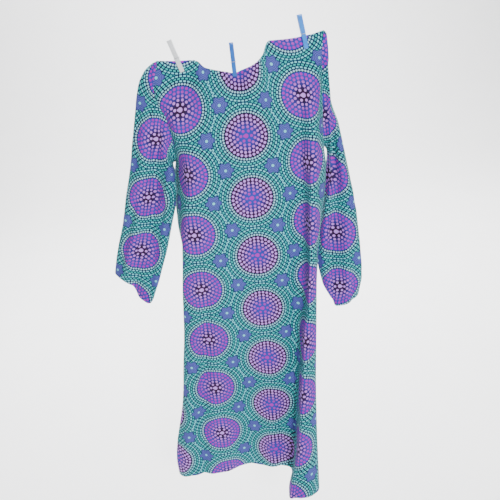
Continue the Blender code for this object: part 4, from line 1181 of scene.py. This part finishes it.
def stitch_dent(distance, depth):
    """The shallow dent that a row of stitches pulls into a hem."""
    return -STITCH_DEPTH * np.exp(-((distance - depth + STITCH_INSET) / STITCH_REACH) ** 2)


def seam_dent(distance):
    """The furrow along a seam, for a distance from it."""
    return -SEAM_DEPTH * np.exp(-(distance / SEAM_REACH) ** 2)


def panel_relief(points, folds, seed):
    """How far a panel's points are pushed out, and how much of them is turned hem."""
    lengths = row_lengths(points, False)
    from_side = np.minimum(lengths, lengths[:, -1:] - lengths)
    from_top = points[-1][None, :, 2] - points[..., 2]
    from_bottom = points[..., 2] - HEM
    on_neck = ((points[-1, :, 0] > NECK_FROM) & (points[-1, :, 0] < NECK_TO))[None, :]
    free = free_of_pegs(points) * ramp(from_side, *SIDE_FADE)
    free = free * np.where(on_neck, 1.0, ramp(from_top, *SHOULDER_FADE))
    push = (folded(points, folds) + uneven(points, PANEL_WAVES, seed)) * free
    push += seam_dent(from_side) * ramp(from_top, *FURROW_BELOW_SHOULDER)
    push += stitch_dent(from_bottom, HEM_DEPTH["bottom"])
    push += np.where(on_neck, stitch_dent(from_top, HEM_DEPTH["neck"]), 0.0)
    neck = hem_band(from_top, HEM_DEPTH["neck"]) * ramp(from_side, *NECK_HEM_FROM_SIDE)
    neck = np.where(on_neck, neck, 0.0)
    return push, np.maximum(hem_band(from_bottom, HEM_DEPTH["bottom"]), neck)


def distances_up(rings):
    """How far each point of a sleeve is from its first ring, along the sleeve."""
    steps = np.linalg.norm(np.diff(rings, axis=0), axis=2)
    return np.concatenate([np.zeros((1, rings.shape[1])), np.cumsum(steps, axis=0)])


def sleeve_relief(points, folds, seed):
    """The same for a sleeve. Its folds are on its front, and it is smooth at the armhole."""
    from_seam = distances_up(points)
    from_cuff = from_seam[-1] - from_seam
    turns = FULL_TURN * np.arange(points.shape[1]) / points.shape[1]
    on_front = ramp(np.sin(turns), *FRONT_FADE)[None, :]
    push = folded(points, folds) * on_front + uneven(points, SLEEVE_WAVES, seed)
    push = push * ramp(from_seam, *ARMHOLE_FADE)
    # The seam's furrow fades out at the outer edge, where it meets the shoulder
    from_outer_edge = np.minimum(turns, FULL_TURN - turns)[None, :]
    push += seam_dent(from_seam) * ramp(from_outer_edge, *FURROW_ROUND_SLEEVE)
    push += stitch_dent(from_cuff, HEM_DEPTH["cuff"])
    return push, hem_band(from_cuff, HEM_DEPTH["cuff"])


# Folds of each piece, and where its unevenness is taken from
RELIEF = {
    "front": (FRONT_FOLDS, 3.0),
    "back": (BACK_FOLDS, 11.0),
    "left_sleeve": (LEFT_SLEEVE_FOLDS, 23.0),
    "right_sleeve": (RIGHT_SLEEVE_FOLDS, 31.0),
}
# The grain line of each panel: its x at the height 0, and its lean
GRAIN_LINES = {"front": (0.012, 0.02), "back": (0.040, -0.02)}


def held_apart(edge, beside):
    """The points of a sewn edge, drawn back so that the two sides of a seam stay a hair's breadth apart."""
    step = beside - edge
    return edge + step / np.linalg.norm(step, axis=1)[:, None] * SEAM_GAP / 2.0


def build_cloth():
    front, back, underarm_row = body_rows()
    left_armhole = np.concatenate([front[underarm_row:, 0][::-1], back[underarm_row + 1:-1, -1]])
    right_armhole = np.concatenate([front[underarm_row:, -1][::-1], back[underarm_row + 1:-1, 0]])
    left = sleeve_rings(SLEEVE_LEFT, left_armhole, CUFF_DROP["left_sleeve"], CAP_PUSH["left_sleeve"])
    right = sleeve_rings(SLEEVE_RIGHT, right_armhole, CUFF_DROP["right_sleeve"], CAP_PUSH["right_sleeve"])
    # Points of each piece, whether its rows are closed, and whether they run the other way round
    flat = {
        "front": (front, False, False), "back": (back, False, False),
        "left_sleeve": (left, True, True), "right_sleeve": (right, True, False)}
    normals = surface_normals(flat)
    shaped = {}
    bands = {}
    for name, (points, closed, flipped) in flat.items():
        push, bands[name] = (sleeve_relief if closed else panel_relief)(points, *RELIEF[name])
        shaped[name] = (points + normals[name] * push[..., None], closed, flipped)
    normals = surface_normals(shaped)
    cotton_faces = [cotton("printed_cotton", False), cotton("printed_cotton_reverse", True)]
    shells = {}
    for name, (points, closed, flipped) in shaped.items():
        half = (CLOTH + (HEM_CLOTH - CLOTH) * bands[name]) / 2.0
        places = points.copy()
        if closed:
            places[0] = held_apart(places[0], places[1])
            grain = sleeve_grain(flat[name][0], PLAIN_RING)
        else:
            places[:, 0] = held_apart(places[:, 0], places[:, 1])
            places[:, -1] = held_apart(places[:, -1], places[:, -2])
            places[-1, :, 2] -= SEAM_GAP / 2.0
            grain = panel_grain(flat[name][0], *GRAIN_LINES[name])
        shells[name] = Shell(name + "_cloth", places, normals[name], half, closed, flipped)
        piece = shells[name].build(grain, cotton_faces)
        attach(piece, "root")
        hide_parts(name)
    return shells, underarm_row


def stitch_nodes():
    """Nodes that lay a small stitch at each step of a line of points."""
    tree = bpy.data.node_groups.new("stitches", "GeometryNodeTree")
    face = tree.interface
    sockets = {}
    for name, kind in (
            ("Line", "Geometry"), ("Pitch", "Float"), ("Stitch size", "Vector"), ("Thread", "Material")):
        made = face.new_socket(name, in_out="INPUT", socket_type="NodeSocket" + kind)
        sockets[name] = made.identifier
    face.new_socket("Stitches", in_out="OUTPUT", socket_type="NodeSocketGeometry")
    start, end, to_curve, steps, ball, tangent, turn, place, solid, finish = [
        tree.nodes.new(kind) for kind in (
            "NodeGroupInput", "NodeGroupOutput", "GeometryNodeMeshToCurve", "GeometryNodeResampleCurve",
            "GeometryNodeMeshUVSphere", "GeometryNodeInputTangent", "FunctionNodeAlignRotationToVector",
            "GeometryNodeInstanceOnPoints", "GeometryNodeRealizeInstances", "GeometryNodeSetMaterial")]
    steps.mode = "LENGTH"
    turn.axis = "X"
    for name, value in (("Segments", 6), ("Rings", 4), ("Radius", 1.0)):
        ball.inputs[name].default_value = value
    for source, target in (
            (start.outputs["Line"], to_curve.inputs[0]), (to_curve.outputs[0], steps.inputs["Curve"]),
            (start.outputs["Pitch"], steps.inputs["Length"]), (tangent.outputs[0], turn.inputs["Vector"]),
            (steps.outputs[0], place.inputs["Points"]), (ball.outputs["Mesh"], place.inputs["Instance"]),
            (turn.outputs[0], place.inputs["Rotation"]),
            (start.outputs["Stitch size"], place.inputs["Scale"]), (place.outputs[0], solid.inputs[0]),
            (solid.outputs[0], finish.inputs["Geometry"]),
            (start.outputs["Thread"], finish.inputs["Material"]), (finish.outputs[0], end.inputs[0])):
        tree.links.new(source, target)
    return tree, sockets


def build_stitches(shells, underarm_row):
    """One row of stitches along the bottom edge, each cuff and the neckline."""
    lines = []
    for name in ("front", "back"):
        shell = shells[name]
        lines.append(shell.outside[STITCHED_RISE])
        top = shell.outside[-1]
        on_neck = np.flatnonzero(
            (top[:, 0] > NECK_FROM + NECK_STITCH_END) & (top[:, 0] < NECK_TO - NECK_STITCH_END))
        below_edge = []
        for column in on_neck:
            heights = shell.outside[underarm_row:, column]
            wanted = top[column, 2] - HEM_DEPTH["neck"] + STITCH_INSET
            below_edge.append([np.interp(wanted, heights[:, 2], heights[:, axis]) for axis in range(3)])
        clear = free_of_pegs(np.array([below_edge]))[0] > 0.02
        part = []
        for place, kept in zip(below_edge, clear):
            if kept:
                part.append(place)
            elif part:
                lines.append(np.array(part))
                part = []
        lines.append(np.array(part))
    for name in ("left_sleeve", "right_sleeve"):
        rings = shells[name].outside
        from_cuff = distances_up(rings[::-1])[::-1]
        wanted = HEM_DEPTH["cuff"] - STITCH_INSET
        ring = []
        for column in range(rings.shape[1]):
            order = np.argsort(from_cuff[:, column])
            distances = from_cuff[order, column]
            ring.append([np.interp(wanted, distances, rings[order, column, axis]) for axis in range(3)])
        lines.append(np.array(ring + ring[:1]))
    places = np.concatenate(lines)
    edges = []
    start = 0
    for line in lines:
        edges += [(start + step, start + step + 1) for step in range(len(line) - 1)]
        start += len(line)
    mesh = bpy.data.meshes.new("stitch_lines")
    mesh.from_pydata(places.tolist(), edges, [])
    carrier = placed("stitch_lines", mesh)
    tree, sockets = stitch_nodes()
    modifier = carrier.modifiers.new("stitches", "NODES")
    modifier.node_group = tree
    modifier[sockets["Pitch"]] = STITCH_PITCH
    modifier[sockets["Stitch size"]] = STITCH_SIZE
    modifier[sockets["Thread"]] = thread_material()
    solid = finished_mesh(carrier)
    stitches = placed("hem_stitches", solid)
    solid.shade_smooth()
    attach(stitches, "root")


def arm_outline():
    """Side view of a peg's arm as (away from the jaw face, up from the notch), round from the tip."""
    turns = [math.radians(-90.0 + 15.0 * step) for step in range(13)]
    notch = [(NOTCH_RADIUS * math.cos(turn), NOTCH_AT + NOTCH_RADIUS * math.sin(turn)) for turn in turns]
    inner = [(0.0007, 0.0), (0.0002, 0.0006), (0.0, 0.0015)] + notch + [
        (0.0, 0.0255), (0.0010, 0.0270), (0.0026, 0.0285), (0.0026, 0.0365), (0.0032, 0.0440),
        (0.0038, 0.0500), (0.0045, 0.0620), (0.0052, PEG_LENGTH - 0.0012), (0.0058, PEG_LENGTH)]
    grips = []
    for ridge in range(RIDGES):
        up = PEG_LENGTH - 0.0050 - RIDGE_PITCH * ridge
        away = 0.0088 - 0.0010 * (PEG_LENGTH - up) / 0.0240
        deep = away - RIDGE_DEPTH
        grips += [(away, up + 0.0010), (deep, up + 0.0004), (deep, up - 0.0004), (away, up - 0.0010)]
    outer = [(0.0082, PEG_LENGTH), (0.0088, PEG_LENGTH - 0.0012)] + grips + [
        (0.0078, 0.0500), (0.0074, 0.0430), (ARM_AT_SPRING, 0.0368), (ARM_AT_SPRING, 0.0282),
        (0.0067, 0.0240), (0.0062, 0.0200), (0.0050, 0.0100), (0.0036, 0.0008), (0.0030, 0.0000)]
    return [(away, up - NOTCH_AT) for away, up in inner + outer]


def curve_through(name, dimensions, places, closed):
    curve = bpy.data.curves.new(name, "CURVE")
    curve.dimensions = dimensions
    spline = curve.splines.new("POLY")
    spline.points.add(len(places) - 1)
    for point, place in zip(spline.points, places):
        point.co = (*place, 1.0)
    spline.use_cyclic_u = closed
    return curve


def solid_from_curve(curve, stand, name, material, soften):
    """A curve made into a plain mesh where it stands, with softened edges where they are wanted."""
    source = placed(name + "_curve", curve)
    weld = source.modifiers.new("weld", "WELD")
    weld.merge_threshold = 0.00001
    if soften:
        bevel = source.modifiers.new("soften", "BEVEL")
        bevel.width = PEG_EDGE
        bevel.segments = 3
        bevel.limit_method = "ANGLE"
        bevel.angle_limit = math.radians(60.0)
    mesh = finished_mesh(source)
    mesh.transform(stand)
    mesh.materials.clear()
    mesh.materials.append(material)
    mesh.shade_smooth()
    mesh.set_sharp_from_angle(angle=math.radians(PEG_SHARP))
    return placed(name, mesh)


def peg_arm(name, stand, half_grip, turned, material):
    curve = curve_through(name, "2D", [(-away, up, 0.0) for away, up in arm_outline()], True)
    curve.fill_mode = "BOTH"
    curve.extrude = PEG_WIDTH / 2.0
    shift = Matrix.Translation((0.0, half_grip if turned else -half_grip, 0.0))
    upright = Matrix.Rotation(math.radians(270.0 if turned else 90.0), 4, "Z")
    upright = upright @ Matrix.Rotation(math.radians(90.0), 4, "X")
    return solid_from_curve(curve, stand @ shift @ upright, name, material, True)


def spring_route(half_grip):
    """The wire's middle line: across one arm, in beside it, round the coil, out and across the other."""
    height = SPRING_AT - NOTCH_AT
    side = PEG_WIDTH / 2.0 + PEG_CLEARANCE + WIRE_RADIUS
    reach = half_grip + ARM_AT_SPRING + PEG_CLEARANCE + WIRE_RADIUS
    hook_end = PEG_WIDTH * 0.4
    coil_steps = int(COIL_TURNS * STEPS_PER_TURN)
    bend = WIRE_BEND
    route = [(hook_end, -reach, height), (-side + bend, -reach, height)]
    route += [(-side + bend * 0.3, -reach + bend * 0.3, height), (-side, -reach + bend, height)]
    for step in range(coil_steps + 1):
        share = step / coil_steps
        turn = math.pi + FULL_TURN * COIL_TURNS * share
        route.append((
            -side + 2.0 * side * share, COIL_RADIUS * math.cos(turn), height + COIL_RADIUS * math.sin(turn)))
    route += [(side, reach - bend, height), (side - bend * 0.3, reach - bend * 0.3, height)]
    route += [(side - bend, reach, height), (-hook_end, reach, height)]
    return route


def peg_spring(name, stand, half_grip, material):
    curve = curve_through(name, "3D", spring_route(half_grip), False)
    curve.bevel_depth = WIRE_RADIUS
    curve.bevel_resolution = 3
    curve.use_fill_caps = True
    return solid_from_curve(curve, stand, name, material, False)


# Colour and shade of each peg
PEG_COLOURS = {
    "peg_left": (srgb(236, 238, 240), srgb(214, 218, 222)),
    "peg_middle": (srgb(22, 112, 205), srgb(12, 84, 176)),
    "peg_right": (srgb(30, 142, 232), srgb(16, 112, 212)),
}


def build_pegs():
    wire = steel("drawn_spring_wire")
    for name, x, z, lean, layers in PEGS:
        stand = Matrix.Translation((x, 0.0, z)) @ Matrix.Rotation(math.radians(lean), 4, "Y")
        cloth_half = WALL / 2.0 if layers == 1 else FOLD + WALL / 2.0
        half_grip = cloth_half + PEG_CLEARANCE
        moulded = plastic(name + "_moulded", *PEG_COLOURS[name])
        for side, turned in (("front", False), ("back", True)):
            arm = peg_arm(f"{name}_{side}_grip", stand, half_grip, turned, moulded)
            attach(arm, "root")
            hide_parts(f"{name}_arm_{side}")
        spring = peg_spring(name + "_wire", stand, half_grip, wire)
        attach(spring, "root")
        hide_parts(name + "_spring")


FLOOR_LEVEL = -1.55
FLOOR_HALF_WIDTH = 9.0
FLOOR_FRONT = -7.0
CURVE_START = 4.0
CURVE_RADIUS = 3.0
CURVE_STEPS = 24
WALL_TOP = 6.0


def build_stage():
    """A pale floor that curves up into a pale wall behind."""
    profile = [(FLOOR_FRONT, FLOOR_LEVEL), (CURVE_START, FLOOR_LEVEL)]
    for step in range(1, CURVE_STEPS + 1):
        turn = math.radians(90.0 * step / CURVE_STEPS)
        forward = CURVE_RADIUS * math.sin(turn)
        rise = CURVE_RADIUS * (1.0 - math.cos(turn))
        profile.append((CURVE_START + forward, FLOOR_LEVEL + rise))
    profile.append((CURVE_START + CURVE_RADIUS, WALL_TOP))
    places = [(side * FLOOR_HALF_WIDTH, y, z) for y, z in profile for side in (-1.0, 1.0)]
    faces = [(2 * row, 2 * row + 1, 2 * row + 3, 2 * row + 2) for row in range(len(profile) - 1)]
    mesh = bpy.data.meshes.new("pale_floor")
    mesh.from_pydata(places, [], faces)
    mesh.materials.append(pale_surface("pale_floor"))
    mesh.shade_smooth()
    floor = placed("pale_floor", mesh)


# Lights: name, place, the place that it faces, width of its disk, power
LIGHTS = [
    ("front_light", (0.45, -2.40, 0.66), (0.0, 0.0, -0.45), 0.35, 89.0),
    ("backdrop_light", (0.0, 2.2, 3.2), (0.0, 5.2, -0.6), 3.5, 900.0),
    ("floor_light", (0.0, 1.2, 2.6), (0.0, 2.6, -1.5), 2.5, 330.0),
]
SKY_STRENGTH = 0.035


def build_lights():
    for name, place, target, size, power in LIGHTS:
        light = bpy.data.lights.new(name, "AREA")
        light.shape = "DISK"
        light.size = size
        light.energy = power
        holder = placed(name, light)
        holder.location = place
        holder.rotation_euler = (Vector(target) - Vector(place)).to_track_quat("-Z", "Y").to_euler()
    world = bpy.data.worlds.new("studio")
    bpy.context.scene.world = world
    world.use_nodes = True
    background = world.node_tree.nodes["Background"]
    background.inputs[0].default_value = (1.0, 1.0, 1.0, 1.0)
    background.inputs[1].default_value = SKY_STRENGTH


CAMERA_AT = (-0.0143, -1.430, 0.1273)
CAMERA_LENS = 43.2
CAMERA_SENSOR = 36.0
# In degrees, how far the camera looks down, and how far it is rolled
CAMERA_DOWN = 22.0
CAMERA_ROLL = 7.0


def build_camera():
    camera = bpy.data.cameras.new("camera")
    camera.lens = CAMERA_LENS
    camera.sensor_width = CAMERA_SENSOR
    camera.clip_start = 0.01
    camera.clip_end = 100.0
    holder = placed("camera", camera)
    down = math.radians(CAMERA_DOWN)
    roll = math.radians(CAMERA_ROLL)
    level_right = Vector((1.0, 0.0, 0.0))
    level_up = Vector((0.0, math.sin(down), math.cos(down)))
    forward = Vector((0.0, math.cos(down), -math.sin(down)))
    right = math.cos(roll) * level_right - math.sin(roll) * level_up
    up = math.cos(roll) * level_up + math.sin(roll) * level_right
    turn = Matrix((right, up, -forward)).transposed().to_4x4()
    holder.matrix_world = Matrix.Translation(CAMERA_AT) @ turn
    bpy.context.scene.camera = holder


def main():
    shells, underarm_row = build_cloth()
    build_stitches(shells, underarm_row)
    build_pegs()
    build_stage()
    build_lights()
    build_camera()


main()
bpy.context.view_layer.update()
